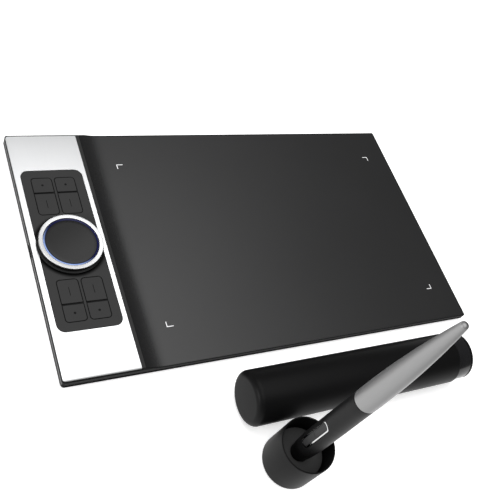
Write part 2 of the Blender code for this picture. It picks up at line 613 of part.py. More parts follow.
def make_pen(table):
    axis = make_empty("pen_axis", (0.0, 0.0, 0.0), table)
    nib = [(0, NIB_TIP), (0.45, NIB_TIP + 0.15), (0.8, 5.4), (0.8, 23.6), (0, 23.6)]
    make_object("pen_nib", turned(nib, 12), "white_plastic", axis, smooth=True)
    heights = [5.9, 9.0, 12.5, 16.0, 20.0, 26.0]
    nose = ([(nose_radius(h), h) for h in heights]
            + [(4.9, 26.0), (nose_radius(20.0) - 1.0, 20.0), (nose_radius(12.5) - 1.0, 12.5),
               (1.15, 8.5), (1.15, 5.9)])
    make_object("pen_nose", turned(nose, 28), "black_plastic", axis, smooth=True)
    bore = PEN_RADIUS - 1.1
    grip = PEN_RADIUS + 0.2
    barrel = [(5.1, 26.3), (6.1, 26.3), (grip, 32.0), (grip, 62.0), (PEN_RADIUS, 80.0),
              (PEN_RADIUS, 87.8), (PEN_RADIUS - 0.2, 88.0), (bore, 88.0)]
    barrel_item = make_object("pen_barrel", turned(barrel, 28), "black_plastic", axis, smooth=True)
    combine(barrel_item, make_guide("barrel_slot", button_slab(0.3, (3.9, 9.0)), axis))

    outer = [(tail_radius(h), h) for h in (88.3, 96.0, 106.0, 118.0, 130.0, 142.0, 154.0, 162.0)]
    tip = tail_radius(PEN_TOP - 1.0)
    outer += [(tip, PEN_TOP - 1.0), (tip * 0.72, PEN_TOP - 0.25), (0, PEN_TOP)]
    inner = [(0, 140.0), (3.0, 140.0), (4.6, 112.0), (bore, 88.3)]
    make_object("pen_tail", turned(outer + inner, 28), "pen_silver", axis, smooth=True)

    make_object("pen_coil", turned([(1.4, 12.0), (2.7, 12.0), (2.7, 21.0), (1.4, 21.0)], 16), "copper", axis)
    sensor = turned([(0, 24.9), (4.2, 24.9), (4.2, 31.0), (0, 31.0)], 16)
    make_object("pressure_sensor", sensor, "steel", axis)
    make_object("pen_board", block((0.6, 1.4), (-4.2, 4.2), (31.4, 86.0)), "board", axis)
    base = block((-2.4, 0.3), (-1.6, 1.6), (PEN_BUTTON_Z - 11.5, PEN_BUTTON_Z + 11.5))
    switch = make_object("pen_switch", base, "white_plastic", axis)
    taps = [block((-4.0, -2.0), (-1.0, 1.0), (z - 1.2, z + 1.2))
            for z in (PEN_BUTTON_Z - 9, PEN_BUTTON_Z + 9)]
    combine(switch, make_guide("switch_taps", join(*taps), axis), "UNION")

    bezel = make_object("pen_button_bezel", button_slab(0.0, (4.2, 9.0)), "polished", axis)
    combine(bezel, make_guide("bezel_slot", button_slab(-0.55, (3.0, 10.0)), axis))
    combine(bezel, make_guide("bezel_skin", disc(grip + 0.12, (20, 80), steps=56), axis), "INTERSECT")
    pivot = (-5.4, 0.0, PEN_BUTTON_Z)
    rocker = button_slab(-0.85, (4.9, 9.0))
    bmesh.ops.translate(rocker, vec=-Vector(pivot), verts=rocker.verts)
    button = make_object("pen_button", rocker, "key_plastic", axis, pivot)
    combine(button, make_guide("button_skin", disc(grip + 0.05, (20, 80), steps=56), axis), "INTERSECT")


def button_slab(grow, reach):
    """The side button's slot shape, standing out from the pen towards -X, grown all round."""
    shape = slab(stadium(PEN_BUTTON_LENGTH + 2 * grow, PEN_BUTTON_WIDTH + 2 * grow), reach)
    turn = Matrix(((0, 0, -1), (0, 1, 0), (1, 0, 0))).to_4x4()
    bmesh.ops.transform(shape, matrix=turn, verts=shape.verts)
    bmesh.ops.translate(shape, vec=(0, 0, PEN_BUTTON_Z), verts=shape.verts)
    return shape


# ---------------------------------------------------------------- pen case

NIB_CIRCLE = 6.5
SPARE_NIBS = 6


def make_case(lying):
    bore = CASE_RADIUS - CASE_WALL
    tube = ([(0, 0)] + arc((CASE_RADIUS - 4.0, 4.0), 4.0, -90, 0, 5)
            + [(CASE_RADIUS, CASE_TUBE_LENGTH - 0.3), (CASE_RADIUS - 0.3, CASE_TUBE_LENGTH),
               (bore, CASE_TUBE_LENGTH), (bore, 5.0), (bore - 2.5, 2.2), (0, 2.2)])
    make_object("case_tube", turned(tube, 36), "black_plastic", lying, smooth=True)
    seat = CASE_TUBE_LENGTH + GAP
    end = CASE_LENGTH - 1.8
    neck = [(11.6, 132.0), (bore - GAP, 132.0), (bore - GAP, seat), (CASE_NECK_RADIUS, seat),
            (CASE_NECK_RADIUS, end - 0.2), (CASE_NECK_RADIUS - 0.2, end), (11.6, end)]
    make_object("case_neck", turned(neck, 36), "gloss_black", lying, smooth=True)
    flange = CASE_LENGTH - 1.5
    plug = [(0, 146.0), (11.3, 146.0), (11.3, flange), (CASE_NECK_RADIUS, flange),
            (CASE_NECK_RADIUS, CASE_LENGTH - 0.3), (CASE_NECK_RADIUS - 0.3, CASE_LENGTH), (0, CASE_LENGTH)]
    plug_item = make_object("case_plug", turned(plug, 36), "black_plastic", lying, smooth=True)
    sockets, nibs = [], []
    for number in range(SPARE_NIBS):
        angle = math.tau * number / SPARE_NIBS
        place = (NIB_CIRCLE * math.cos(angle), NIB_CIRCLE * math.sin(angle))
        sockets.append(disc(1.1, (140.0, 152.0), place, steps=8))
        nibs.append(disc(0.8, (131.6, 151.6), place, steps=8))
    combine(plug_item, make_guide("plug_sockets", join(*sockets), lying))
    rack = make_object("nib_rack", disc(NIB_CIRCLE + 2.2, (143.6, 145.6), steps=24), "white_plastic", lying)
    combine(rack, make_guide("rack_nibs", join(*nibs), lying), "UNION")


def main():
    clear_scene()
    tablet = make_empty("tablet_zero", TABLET_ZERO)
    make_bottom_case(tablet)
    make_top_cover(tablet)
    make_drawing_film(tablet)
    make_silver_plate(tablet)
    make_key_bezel(tablet)
    make_keys(tablet)
    make_electronics(tablet)
    make_socket(tablet)
    make_fasteners_and_feet(tablet)
    make_dial(tablet)
    stand = make_empty("stand_axis", (STAND_X, STAND_Y, 0.0), tablet)
    make_stand(stand)
    make_pen(stand)
    lying = make_empty("case_axis", (CASE_X, CASE_Y, CASE_RADIUS), tablet,
                       rotation=(0.0, math.radians(90), 0.0))
    make_case(lying)


main()
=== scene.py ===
"""Looks of a pen drawing tablet with its pen, stand and pen case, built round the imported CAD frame.

Pieces are made in millimetres, in the frame's own coordinates. MM turns millimetres into metres.
"""
import json
import math

import bmesh
import bpy
from mathutils import Matrix, Vector


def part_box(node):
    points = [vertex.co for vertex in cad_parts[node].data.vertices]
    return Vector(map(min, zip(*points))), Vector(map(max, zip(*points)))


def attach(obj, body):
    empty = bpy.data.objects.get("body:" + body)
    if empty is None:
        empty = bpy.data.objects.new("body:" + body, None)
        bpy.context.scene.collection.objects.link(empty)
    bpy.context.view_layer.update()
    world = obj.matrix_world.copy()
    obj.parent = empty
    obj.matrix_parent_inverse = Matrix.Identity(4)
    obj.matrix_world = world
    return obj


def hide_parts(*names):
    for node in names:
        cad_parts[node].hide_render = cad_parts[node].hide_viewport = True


MM = 0.001
WELD = 1e-4
SHARP_ANGLE = math.radians(40)

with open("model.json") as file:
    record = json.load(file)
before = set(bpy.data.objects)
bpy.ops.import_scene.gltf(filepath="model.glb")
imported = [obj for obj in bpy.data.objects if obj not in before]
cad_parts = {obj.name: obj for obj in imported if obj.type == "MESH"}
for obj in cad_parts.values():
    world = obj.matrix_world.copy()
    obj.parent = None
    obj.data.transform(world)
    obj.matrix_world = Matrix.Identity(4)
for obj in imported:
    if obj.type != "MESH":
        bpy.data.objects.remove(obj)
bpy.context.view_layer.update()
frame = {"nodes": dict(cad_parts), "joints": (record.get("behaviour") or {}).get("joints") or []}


# ---------------- places taken from the frame

def extent(node):
    """A CAD node's lowest and highest corners, in millimetres."""
    low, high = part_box(node)
    return low / MM, high / MM


def middle_of(node):
    low, high = extent(node)
    return (low + high) / 2


def half_width(node):
    """Half of a CAD node's size along X: the outer radius of one that is turned about Z."""
    low, high = extent(node)
    return (high.x - low.x) / 2


def joint_place(name):
    """Where a joint's axis passes, in millimetres."""
    found = next(joint for joint in frame["joints"] if joint["name"] == name)
    return Vector(found["pos_m"]) / MM


CASE_LOW, CASE_HIGH = extent("bottom_case")
COVER_LOW, COVER_HIGH = extent("top_cover")
PLATE_LOW, PLATE_HIGH = extent("silver_plate")
FILM_LOW, FILM_HIGH = extent("drawing_film")
DIAL = joint_place("dial_turn")
PEN = middle_of("stand_cup")
TUBE_LOW, TUBE_HIGH = extent("case_tube")
TUBE_AXIS = Vector((TUBE_LOW.x, (TUBE_LOW.y + TUBE_HIGH.y) / 2, (TUBE_LOW.z + TUBE_HIGH.z) / 2))

HOUSING_CORNER = 2.0
COVER_RIGHT_CORNER = 1.0
WALL = 1.5
GAP = 0.3
PANEL_CORNER = 5.0
KEY_CORNER = 2.3
KEY_GAP = 0.5
RIDGE_END = PLATE_HIGH.x + 2.1
RIDGE_TOP = PLATE_HIGH.z - 0.1
RAMP_END = CASE_LOW.x + 60.0
RAMP_EASE = 2.2
FILM_THICKNESS = 0.3
DRAWING_TOP = FILM_LOW.z + FILM_THICKNESS
END_SLOPE = 1.2
CUT_PAST = 5.0

SCREWS = ["case_screw_%d" % number for number in range(1, 5)]
FEET = ["foot_%d" % number for number in range(1, 5)]
KEYS = ["key_%d" % number for number in range(1, 9)]


# ---------------- camera

def make_camera():
    """Seen from the front left and above, the camera rolled so the far side runs level."""
    azimuth, elevation, roll = math.radians(48.835), math.radians(49.33), math.radians(35.39)
    from_front_left_corner = Vector((-98.7, -136.7, 367.3))
    look = Vector((math.sin(azimuth) * math.cos(elevation), math.cos(azimuth) * math.cos(elevation),
                   -math.sin(elevation)))
    data = bpy.data.cameras.new("camera")
    data.lens = 54.12
    data.clip_start, data.clip_end = 0.01, 20.0
    camera = bpy.data.objects.new("camera", data)
    camera.location = (CASE_LOW + from_front_left_corner) * MM
    camera.rotation_mode = "QUATERNION"
    level = look.to_track_quat("-Z", "Y")
    camera.rotation_quaternion = level @ Matrix.Rotation(roll, 3, "Z").to_quaternion()
    bpy.context.scene.collection.objects.link(camera)
    bpy.context.scene.camera = camera


# ---------------- shader kit

class Value:
    """A number in a material, so that shader maths reads as an expression."""

    def __init__(self, finish, socket):
        self.finish = finish
        self.socket = socket

    def maths(self, operation, *values):
        return self.finish.value("ShaderNodeMath", {"operation": operation}, dict(enumerate(values)))

    def __add__(self, other):
        return self.maths("ADD", self, other)

    def __radd__(self, other):
        return self.maths("ADD", other, self)

    def __sub__(self, other):
        return self.maths("SUBTRACT", self, other)

    def __rsub__(self, other):
        return self.maths("SUBTRACT", other, self)

    def __mul__(self, other):
        return self.maths("MULTIPLY", self, other)

    def __rmul__(self, other):
        return self.maths("MULTIPLY", other, self)

    def __truediv__(self, other):
        return self.maths("DIVIDE", self, other)

    def __rtruediv__(self, other):
        return self.maths("DIVIDE", other, self)

    def __pow__(self, other):
        return self.maths("POWER", self, other)

    def wave(self):
        return self.maths("SINE", self)


class Finish:
    """One material while it is made. Its patterns are laid out in millimetres."""

    def __init__(self, name, **fixed):
        self.material = bpy.data.materials.new(name)
        self.material.use_nodes = True
        self.tree = self.material.node_tree
        self.shader = self.tree.nodes["Principled BSDF"]
        for socket, setting in fixed.items():
            self.feed(self.shader.inputs[socket.replace("_", " ")], setting)

    def feed(self, socket, source):
        if isinstance(source, Value):
            source = source.socket
        if isinstance(source, bpy.types.NodeSocket):
            self.tree.links.new(source, socket)
        elif socket.type == "RGBA" and len(source) == 3:
            socket.default_value = (*source, 1.0)
        else:
            socket.default_value = source

    def node(self, kind, settings=None, inputs=None):
        made = self.tree.nodes.new(kind)
        for key, setting in (settings or {}).items():
            setattr(made, key, setting)
        for key, source in (inputs or {}).items():
            self.feed(made.inputs[key], source)
        return made

    def value(self, kind, settings=None, inputs=None):
        return Value(self, self.node(kind, settings, inputs).outputs[0])

    def place(self, centre=(0.0, 0.0, 0.0), stretch=(1.0, 1.0, 1.0)):
        """Object coordinates in millimetres from a centre, stretched along each axis."""
        here = self.node("ShaderNodeTexCoord").outputs["Object"]
        scale = tuple(s / MM for s in stretch)
        shift = tuple(-c * s for c, s in zip(centre, stretch))
        mapping = self.node("ShaderNodeMapping", None, {"Vector": here, "Scale": scale, "Location": shift})
        return mapping.outputs[0]

    def axes(self, vector):
        split = self.node("ShaderNodeSeparateXYZ", None, {0: vector})
        return [Value(self, socket) for socket in split.outputs]

    def noise(self, vector, scale, detail=2.0, roughness=0.5):
        return self.value("ShaderNodeTexNoise", None, {"Vector": vector, "Scale": scale, "Detail": detail,
                                                       "Roughness": roughness})

    def distance(self, a, b):
        """How far a point is from an axis, from its places a and b across that axis."""
        return (a * a + b * b) ** 0.5

    def band(self, value, low, high):
        """0 at low, 1 at high, smooth between them."""
        return self.value("ShaderNodeMapRange", {"interpolation_type": "SMOOTHSTEP"},
                          {"Value": value, "From Min": low, "From Max": high})

    def blend(self, share, first, second):
        mix = self.node("ShaderNodeMix", {"data_type": "RGBA"}, {"Factor": share, 6: first, 7: second})
        return mix.outputs[2]

    def paint(self, colour):
        self.feed(self.shader.inputs["Base Color"], colour)

    def gloss(self, roughness):
        self.feed(self.shader.inputs["Roughness"], roughness)

    def relief(self, height, depth, strength=1.0):
        """Bump from a height of 0 to 1, depth millimetres deep."""
        bump = self.node("ShaderNodeBump", None, {"Strength": strength, "Distance": depth * MM,
                                                  "Height": height})
        self.feed(self.shader.inputs["Normal"], bump.outputs[0])


# ---------------- finishes

def shade(grey, tint=(1.0, 1.0, 1.0)):
    return tuple(grey * part for part in tint)


def cover_black(name):
    """Moulded black with painted light: walls painted near-black as shade, the left side painted grey where
    the side light falls, and top edges and the ridge top painted paler as highlight.
    """
    finish = Finish(name, Specular_IOR_Level=0.03)
    here = finish.place()
    fine = finish.noise(here, 2.6, 3.0, 0.6)
    broad = finish.noise(here, 0.045, 3.0)
    x, _, z = finish.axes(here)
    top = finish.band(z, DRAWING_TOP - 0.5, DRAWING_TOP - 0.05)
    ridge = finish.band(z, RIDGE_TOP - 0.5, RIDGE_TOP - 0.05)
    left = finish.band(x, CASE_LOW.x + 0.5, CASE_LOW.x)
    # Painted light: the walls are painted near-black as shade, and the left side is painted grey where the
    # side light falls on it.
    wall = finish.blend(left, finish.blend(fine, shade(0.0025), shade(0.0045)), shade(0.11))
    # Painted highlight: the top edges are painted paler, and the ridge top palest.
    edge = finish.blend(broad, shade(0.010), shade(0.014))
    pale_tone = finish.blend(broad, shade(0.024), shade(0.03))
    finish.paint(finish.blend(ridge, finish.blend(top, wall, edge), pale_tone))
    finish.gloss(0.42 + broad * 0.08 + fine * 0.04)
    finish.relief(fine, 0.015)
    return finish.material


def panel_finish(name, grey, halo):
    """Matte key panel, dusty grey, with a dark halo of shade close round the dial."""
    finish = Finish(name, Specular_IOR_Level=0.04)
    x, y, _ = finish.axes(finish.place((DIAL.x, DIAL.y, 0)))
    reach = finish.distance(x, y)
    fine = finish.noise(finish.place(), 4.5, 3.0, 0.6)
    broad = finish.noise(finish.place(), 0.045, 3.0)
    clear = finish.band(reach, halo[0], halo[1])
    open_grey = finish.blend(broad * 0.6 + fine * 0.4, shade(grey * 0.86), shade(grey * 1.16))
    finish.paint(finish.blend(clear, shade(0.001), open_grey))
    finish.gloss(0.44 + broad * 0.07 + fine * 0.04)
    finish.relief(fine, 0.008)
    return finish.material


def dished_black(name, centre, reach):
    """The touch pad, with painted light: black at its back left, paler towards its front right."""
    finish = Finish(name, Specular_IOR_Level=0.2)
    x, y, _ = finish.axes(finish.place(centre))
    across = (x * 0.5 + y * -0.86) / reach
    fine = finish.noise(finish.place(centre), 5.0, 3.0, 0.6)
    # Painted light: the pad's colour runs from black at its back left to paler at its front right.
    share = finish.band(across + fine * 0.1, -0.8, 0.75)
    finish.paint(finish.blend(share, shade(0.004), shade(0.017)))
    finish.gloss(0.4 + fine * 0.1)
    finish.relief(fine, 0.005)
    return finish.material


def moulded(name, grey, roughness, grain=0.35, depth=0.02, specular=0.5):
    """Moulded plastic: a fine sparked texture, faint mottling and a little dust."""
    finish = Finish(name, Specular_IOR_Level=specular)
    tint = (1.0, 1.0, 1.03)
    here = finish.place()
    fine = finish.noise(here, 1.0 / grain, 3.0, 0.6)
    broad = finish.noise(here, 0.045, 3.0)
    dust = finish.noise(here, 2.2, 2.0)
    finish.paint(finish.blend(broad * 0.6 + fine * 0.4, shade(grey * 0.86, tint), shade(grey * 1.16, tint)))
    finish.gloss(roughness - 0.05 + broad * 0.07 + dust * 0.05)
    finish.relief(fine, depth)
    return finish.material


def brushed_silver(name):
    """Anodised silver with a fine grain along the strip, and painted shade darkening its rounded front
    edge.
    """
    finish = Finish(name, Metallic=1.0, Specular_IOR_Level=0.5)
    grain = finish.noise(finish.place(stretch=(9.0, 0.12, 1.0)), 1.0, 4.0, 0.65)
    broad = finish.noise(finish.place(), 0.02, 2.0)
    _, y, _ = finish.axes(finish.place())
    # Painted shade: the colour darkens to near-black over the rounded front edge.
    clear_of_edge_shade = finish.band(y, PLATE_LOW.y - 0.4, PLATE_LOW.y + 1.9)
    silver = finish.blend(grain * 0.5 + broad * 0.5, (0.50, 0.505, 0.51), (0.62, 0.624, 0.63))
    finish.paint(finish.blend(clear_of_edge_shade, (0.03, 0.03, 0.03), silver))
    finish.gloss(0.25 + grain * 0.1 + broad * 0.04)
    finish.relief(grain, 0.006, 0.5)
    return finish.material


def turned_silver(name, centre, roughness, bright=0.9):
    """Polished metal with fine turning lines round an upright axis, with painted light: darker towards its
    front left, brighter towards its back right.
    """
    finish = Finish(name, Metallic=1.0)
    x, y, _ = finish.axes(finish.place(centre))
    reach = finish.distance(x, y)
    lines_per_mm = 7.0
    lathe = (reach * (lines_per_mm * math.tau)).wave() * 0.5 + 0.5
    smear = finish.noise(finish.place(centre), 0.3, 2.0)
    # Painted light: the metal is painted darker towards its front left and brighter towards its back right.
    lit_share = finish.band((x * 0.72 + y * 0.69) / reach, -0.9, 0.6)
    shaded_tone, lit_tone = shade(bright * 0.6), shade(bright, (0.99, 1.0, 1.01))
    finish.paint(finish.blend(lit_share * 0.9 + smear * 0.1, shaded_tone, lit_tone))
    finish.gloss(roughness + lathe * 0.05 + smear * 0.04)
    finish.relief(lathe, 0.004, 0.5)
    return finish.material


def tail_paint(name):
    """Satin grey lacquer: fine flakes under a thin coat, with a painted highlight down its left side and
    painted shade towards its right.
    """
    finish = Finish(name, Metallic=0.2, Specular_IOR_Level=0.3, Coat_Weight=0.1, Coat_Roughness=0.18)
    here = finish.place()
    flakes = finish.noise(here, 9.0, 1.0)
    broad = finish.noise(here, 0.08, 2.0)
    x, y, _ = finish.axes(finish.place((PEN.x, PEN.y, 0)))
    # Painted light: a highlight is painted down the pen's left side, and the tone falls off into painted
    # shade towards its right.
    towards_highlight = (x * -0.96 + y * -0.28) / finish.distance(x, y)
    painted_sheen = finish.band(towards_highlight + flakes * 0.06, 0.3, 1.05) ** 2.0
    shaded_flank = finish.blend(finish.band(towards_highlight + broad * 0.1, -0.5, 0.5), shade(0.05), shade(0.12))
    finish.paint(finish.blend(painted_sheen, shaded_flank, shade(0.2)))
    finish.gloss(0.28 + flakes * 0.08 + broad * 0.03)
    finish.relief(flakes, 0.004, 0.4)
    return finish.material


def glow_blue(name, centre, inner, outer):
    """A frosted blue ring with painted light: its colour and its glow are painted pale at its outer lip
    towards the front left, navy elsewhere.
    """
    finish = Finish(name, Specular_IOR_Level=0.15)
    x, y, _ = finish.axes(finish.place(centre))
    reach = finish.distance(x, y)
    towards = (x * -0.72 + y * -0.69) / reach
    # Painted light: the ring is painted pale and given a glow on its side towards the front left, strongest
    # at its outer lip.
    glow_side_share = finish.band(towards, -0.05, 0.85)
    lip = finish.band(reach, inner, outer)
    share = glow_side_share * (lip * 0.8 + 0.2)
    speckle = finish.noise(finish.place(centre), 1.4, 2.0)
    finish.paint(finish.blend(share, (0.005, 0.006, 0.035), (0.24, 0.33, 0.58)))
    finish.gloss(0.24 + speckle * 0.14)
    finish.feed(finish.shader.inputs["Emission Color"],
                finish.blend(share, (0.002, 0.003, 0.025), (0.20, 0.30, 0.62)))
    finish.shader.inputs["Emission Strength"].default_value = 0.45
    return finish.material


def charcoal_film(name):
    """Matte drawing film with a paper-like tooth, a little glossier on the ramp."""
    finish = Finish(name, Specular_IOR_Level=0.44)
    here = finish.place()
    tooth = finish.noise(here, 3.4, 4.0, 0.7)
    fibre = finish.noise(here, 0.5, 3.0)
    broad = finish.noise(here, 0.012, 2.0)
    finish.paint(finish.blend(tooth * 0.4 + fibre * 0.25 + broad * 0.35, (0.005, 0.005, 0.0052),
                              (0.009, 0.009, 0.0092)))
    x, _, _ = finish.axes(here)
    level = finish.band(x, RAMP_END - 8.0, RAMP_END + 1.0)
    finish.gloss(0.22 + level * 0.12 + tooth * 0.06 + broad * 0.04)
    finish.relief(tooth, 0.012, 0.8)
    return finish.material


def printed_white(name):
    finish = Finish(name, Roughness=0.6)
    pale_tone = finish.noise(finish.place(), 2.6, 3.0)
    finish.paint(finish.blend(pale_tone, (0.62, 0.62, 0.63), (0.86, 0.86, 0.87)))
    return finish.material


def black_rubber(name, grey=0.018):
    finish = Finish(name, Specular_IOR_Level=0.3)
    here = finish.place()
    pores = finish.noise(here, 1.8, 4.0, 0.65)
    bloom = finish.noise(here, 0.12, 2.0)
    finish.paint(finish.blend(bloom * 0.6 + pores * 0.4, shade(grey * 0.8), shade(grey * 1.9)))
    finish.gloss(0.78 + bloom * 0.12)
    finish.relief(pores, 0.05)
    return finish.material


def polished_black(name):
    """Piano-black neck: a clear coat over black, with hairline rub marks round it."""
    finish = Finish(name, Coat_Weight=0.12, Coat_Roughness=0.06, Specular_IOR_Level=0.3)
    rub = finish.noise(finish.place(stretch=(6.0, 0.15, 0.15)), 1.0, 3.0)
    finish.paint(finish.blend(rub, (0.004, 0.004, 0.0045), (0.011, 0.011, 0.012)))
    finish.gloss(0.12 + rub * 0.14)
    finish.relief(rub, 0.004, 0.4)
    return finish.material


def bright_steel(name, grey=0.62, roughness=0.24):
    finish = Finish(name, Metallic=1.0)
    here = finish.place()
    plating = finish.noise(here, 0.9, 3.0)
    finish.paint(finish.blend(plating, shade(grey * 0.85), shade(grey * 1.1)))
    finish.gloss(roughness + plating * 0.12)
    finish.relief(plating, 0.006, 0.5)
    return finish.material


def bright_gold(name):
    finish = Finish(name, Metallic=1.0)
    plating = finish.noise(finish.place(), 3.0, 2.0)
    finish.paint(finish.blend(plating, (0.8, 0.52, 0.2), (1.0, 0.74, 0.36)))
    finish.gloss(0.18 + plating * 0.1)
    return finish.material


def solder_mask(name):
    """Circuit board: green mask over copper tracks, with gilt pads strewn over it."""
    finish = Finish(name, Coat_Weight=0.3)
    here = finish.place()
    tracks = finish.value("ShaderNodeTexBrick", {"offset": 0.5},
                          {"Vector": here, "Scale": 0.55, "Mortar Size": 0.03, "Color1": (0, 0, 0),
                           "Color2": (0, 0, 0), "Mortar": (1, 1, 1)})
    pads = finish.value("ShaderNodeTexVoronoi", {"feature": "F1"}, {"Vector": here, "Scale": 0.35})
    dots = 1.0 - finish.band(pads, 0.1, 0.14)
    green = finish.blend(tracks, (0.008, 0.075, 0.03), (0.02, 0.15, 0.06))
    finish.paint(finish.blend(dots, green, (0.75, 0.6, 0.3)))
    finish.gloss(0.3 + tracks * 0.1)
    finish.relief(tracks + dots, 0.02)
    return finish.material


def flex_film(name):
    """Amber polyimide ribbon with copper lines running along it."""
    finish = Finish(name, Coat_Weight=0.5)
    _, y, _ = finish.axes(finish.place())
    pitch = 0.8
    lines = (y * (math.tau / pitch)).wave() * 0.5 + 0.5
    finish.paint(finish.blend(finish.band(lines, 0.4, 0.7), (0.34, 0.13, 0.02), (0.62, 0.31, 0.06)))
    finish.gloss(0.22 + lines * 0.1)
    finish.relief(lines, 0.01)
    return finish.material


def wound_copper(name):
    finish = Finish(name, Metallic=1.0)
    _, _, z = finish.axes(finish.place())
    pitch = 0.25
    turns = (z * (math.tau / pitch)).wave() * 0.5 + 0.5
    finish.paint(finish.blend(turns, (0.30, 0.10, 0.04), (0.85, 0.42, 0.22)))
    finish.gloss(0.25 + turns * 0.1)
    finish.relief(turns, 0.05)
    return finish.material


def plain_white(name, grey=0.72):
    """Unpainted acetal: slightly waxy, with flow marks."""
    finish = Finish(name)
    flow = finish.noise(finish.place(stretch=(1.0, 1.0, 0.2)), 0.8, 2.0)
    finish.paint(finish.blend(flow, shade(grey * 0.92, (1.0, 0.99, 0.96)), shade(grey * 1.06)))
    finish.gloss(0.34 + flow * 0.12)
    return finish.material


def pale_floor(name):
    finish = Finish(name, Roughness=0.9, Specular_IOR_Level=0.1, Emission_Color=(1.0, 1.0, 1.0),
                    Emission_Strength=0.45)
    broad = finish.noise(finish.place(), 0.004, 2.0)
    finish.paint(finish.blend(broad, (0.86, 0.86, 0.86), (0.88, 0.88, 0.88)))
    return finish.material


# ---------------- modelling kit

def rounded(corners, steps=6):
    """A closed outline through (a, b, radius) corners, each turned by an arc of its radius."""
    points = []
    for index, (a, b, radius) in enumerate(corners):
        here = Vector((a, b))
        if radius <= 0:
            points.append((a, b))
            continue
        before = (Vector(corners[index - 1][:2]) - here).normalized()
        after = (Vector(corners[(index + 1) % len(corners)][:2]) - here).normalized()
        half = before.angle(after) / 2
        middle = here + (before + after).normalized() * radius / math.sin(half)
        start = here + before * radius / math.tan(half) - middle
        end = here + after * radius / math.tan(half) - middle
        swing = start.angle_signed(end)
        for step in range(steps + 1):
            turn = Matrix.Rotation(-swing * step / steps, 2)
            points.append(tuple(middle + turn @ start))
    return points


def rectangle(x, y, radius, steps=6):
    """radius is one number, or four: front left, front right, back right, back left."""
    radii = radius if isinstance(radius, (tuple, list)) else [radius] * 4
    places = ((x[0], y[0]), (x[1], y[0]), (x[1], y[1]), (x[0], y[1]))
    return rounded([(a, b, r) for (a, b), r in zip(places, radii)], steps)


def footprint(node, grow, radius, steps=6):
    """A CAD node's outline from above, grown by so many millimetres."""
    low, high = extent(node)
    return rectangle((low.x - grow, high.x + grow), (low.y - grow, high.y + grow), radius, steps)


def around(centre, half_x, half_y, radius=0.0):
    """A rectangle about a centre."""
    return rectangle((centre.x - half_x, centre.x + half_x), (centre.y - half_y, centre.y + half_y),
                     radius)


def slot_outline(length, width, steps=12):
    """A long round-ended outline about zero, its length along the first axis."""
    just_under_half = 0.4995
    return rectangle((-length / 2, length / 2), (-width / 2, width / 2), width * just_under_half, steps)


def spaced(low, high, steps):
    return [low + (high - low) * step / steps for step in range(steps + 1)]


def extruded(corners, shift):
    """A flat face through the corners, drawn out by a shift into a solid."""
    shape = bmesh.new()
    base = shape.faces.new([shape.verts.new(corner) for corner in corners])
    raised = bmesh.ops.extrude_face_region(shape, geom=[base])["geom"]
    bmesh.ops.translate(shape, vec=shift, verts=[v for v in raised if isinstance(v, bmesh.types.BMVert)])
    bmesh.ops.recalc_face_normals(shape, faces=shape.faces)
    return shape


def slab(outline, heights):
    """Extrude an outline of (x, y) points between two heights."""
    return extruded([(x, y, heights[0]) for x, y in outline], (0, 0, heights[1] - heights[0]))


def upright_sheet(outline, depth):
    """Extrude an outline of (x, z) points between two depths along Y."""
    return extruded([(x, depth[0], z) for x, z in outline], (0, depth[1] - depth[0], 0))


def bar_along_x(outline, reach):
    """Extrude an outline of (y, z) points between two distances along X."""
    return extruded([(reach[0], y, z) for y, z in outline], (reach[1] - reach[0], 0, 0))


def block(x, y, z):
    return slab(rectangle(x, y, 0), z)


def disc(radius, heights, centre=(0.0, 0.0), steps=32):
    """A round slab between two heights."""
    shape = bmesh.new()
    bmesh.ops.create_cone(shape, cap_ends=True, segments=steps, radius1=radius, radius2=radius,
                          depth=heights[1] - heights[0])
    bmesh.ops.translate(shape, vec=(*centre, sum(heights) / 2), verts=shape.verts)
    return shape


def turned(outline, steps=128):
    """Turn a closed outline of (radius, height) points about Z."""
    shape = bmesh.new()
    ring = [shape.verts.new((radius, 0.0, height)) for radius, height in outline]
    edges = [shape.edges.new((start, end)) for start, end in zip(ring, ring[1:] + ring[:1])
             if max(start.co.x, end.co.x) > WELD]
    bmesh.ops.spin(shape, geom=ring + edges, cent=(0, 0, 0), axis=(0, 0, 1), angle=math.tau,
                   steps=steps, use_merge=True)
    bmesh.ops.remove_doubles(shape, verts=shape.verts, dist=WELD)
    bmesh.ops.recalc_face_normals(shape, faces=shape.faces)
    return shape


def moved(shape, place):
    bmesh.ops.translate(shape, vec=place, verts=shape.verts)
    return shape


def laid_along_x(shape):
    """Turn a shape that was made along Z so that it lies along +X."""
    bmesh.ops.rotate(shape, cent=(0, 0, 0), matrix=Matrix.Rotation(math.radians(90), 3, "Y"),
                     verts=shape.verts)
    return shape


def joined(*shapes):
    """The shapes as one, side by side."""
    whole = bmesh.new()
    for shape in shapes:
        mesh = bpy.data.meshes.new("part")
        shape.to_mesh(mesh)
        shape.free()
        whole.from_mesh(mesh)
        bpy.data.meshes.remove(mesh)
    return whole


def combined(shape, operation, *others):
    """The solid left after each other shape is cut from, added to or crossed with this one."""
    items = []
    for part in (shape, *others):
        mesh = bpy.data.meshes.new("part")
        part.to_mesh(mesh)
        part.free()
        items.append(bpy.data.objects.new("part", mesh))
        bpy.context.scene.collection.objects.link(items[-1])
    for other in items[1:]:
        step = items[0].modifiers.new("step", "BOOLEAN")
        step.operation = operation
        step.solver = "EXACT"
        step.object = other
    ready = items[0].evaluated_get(bpy.context.evaluated_depsgraph_get())
    result = bmesh.new()
    result.from_mesh(ready.data)
    bmesh.ops.remove_doubles(result, verts=result.verts, dist=WELD)
    for item in items:
        mesh = item.data
        bpy.data.objects.remove(item, do_unlink=True)
        bpy.data.meshes.remove(mesh)
    return result


def cut(shape, *others):
    return combined(shape, "DIFFERENCE", *others)


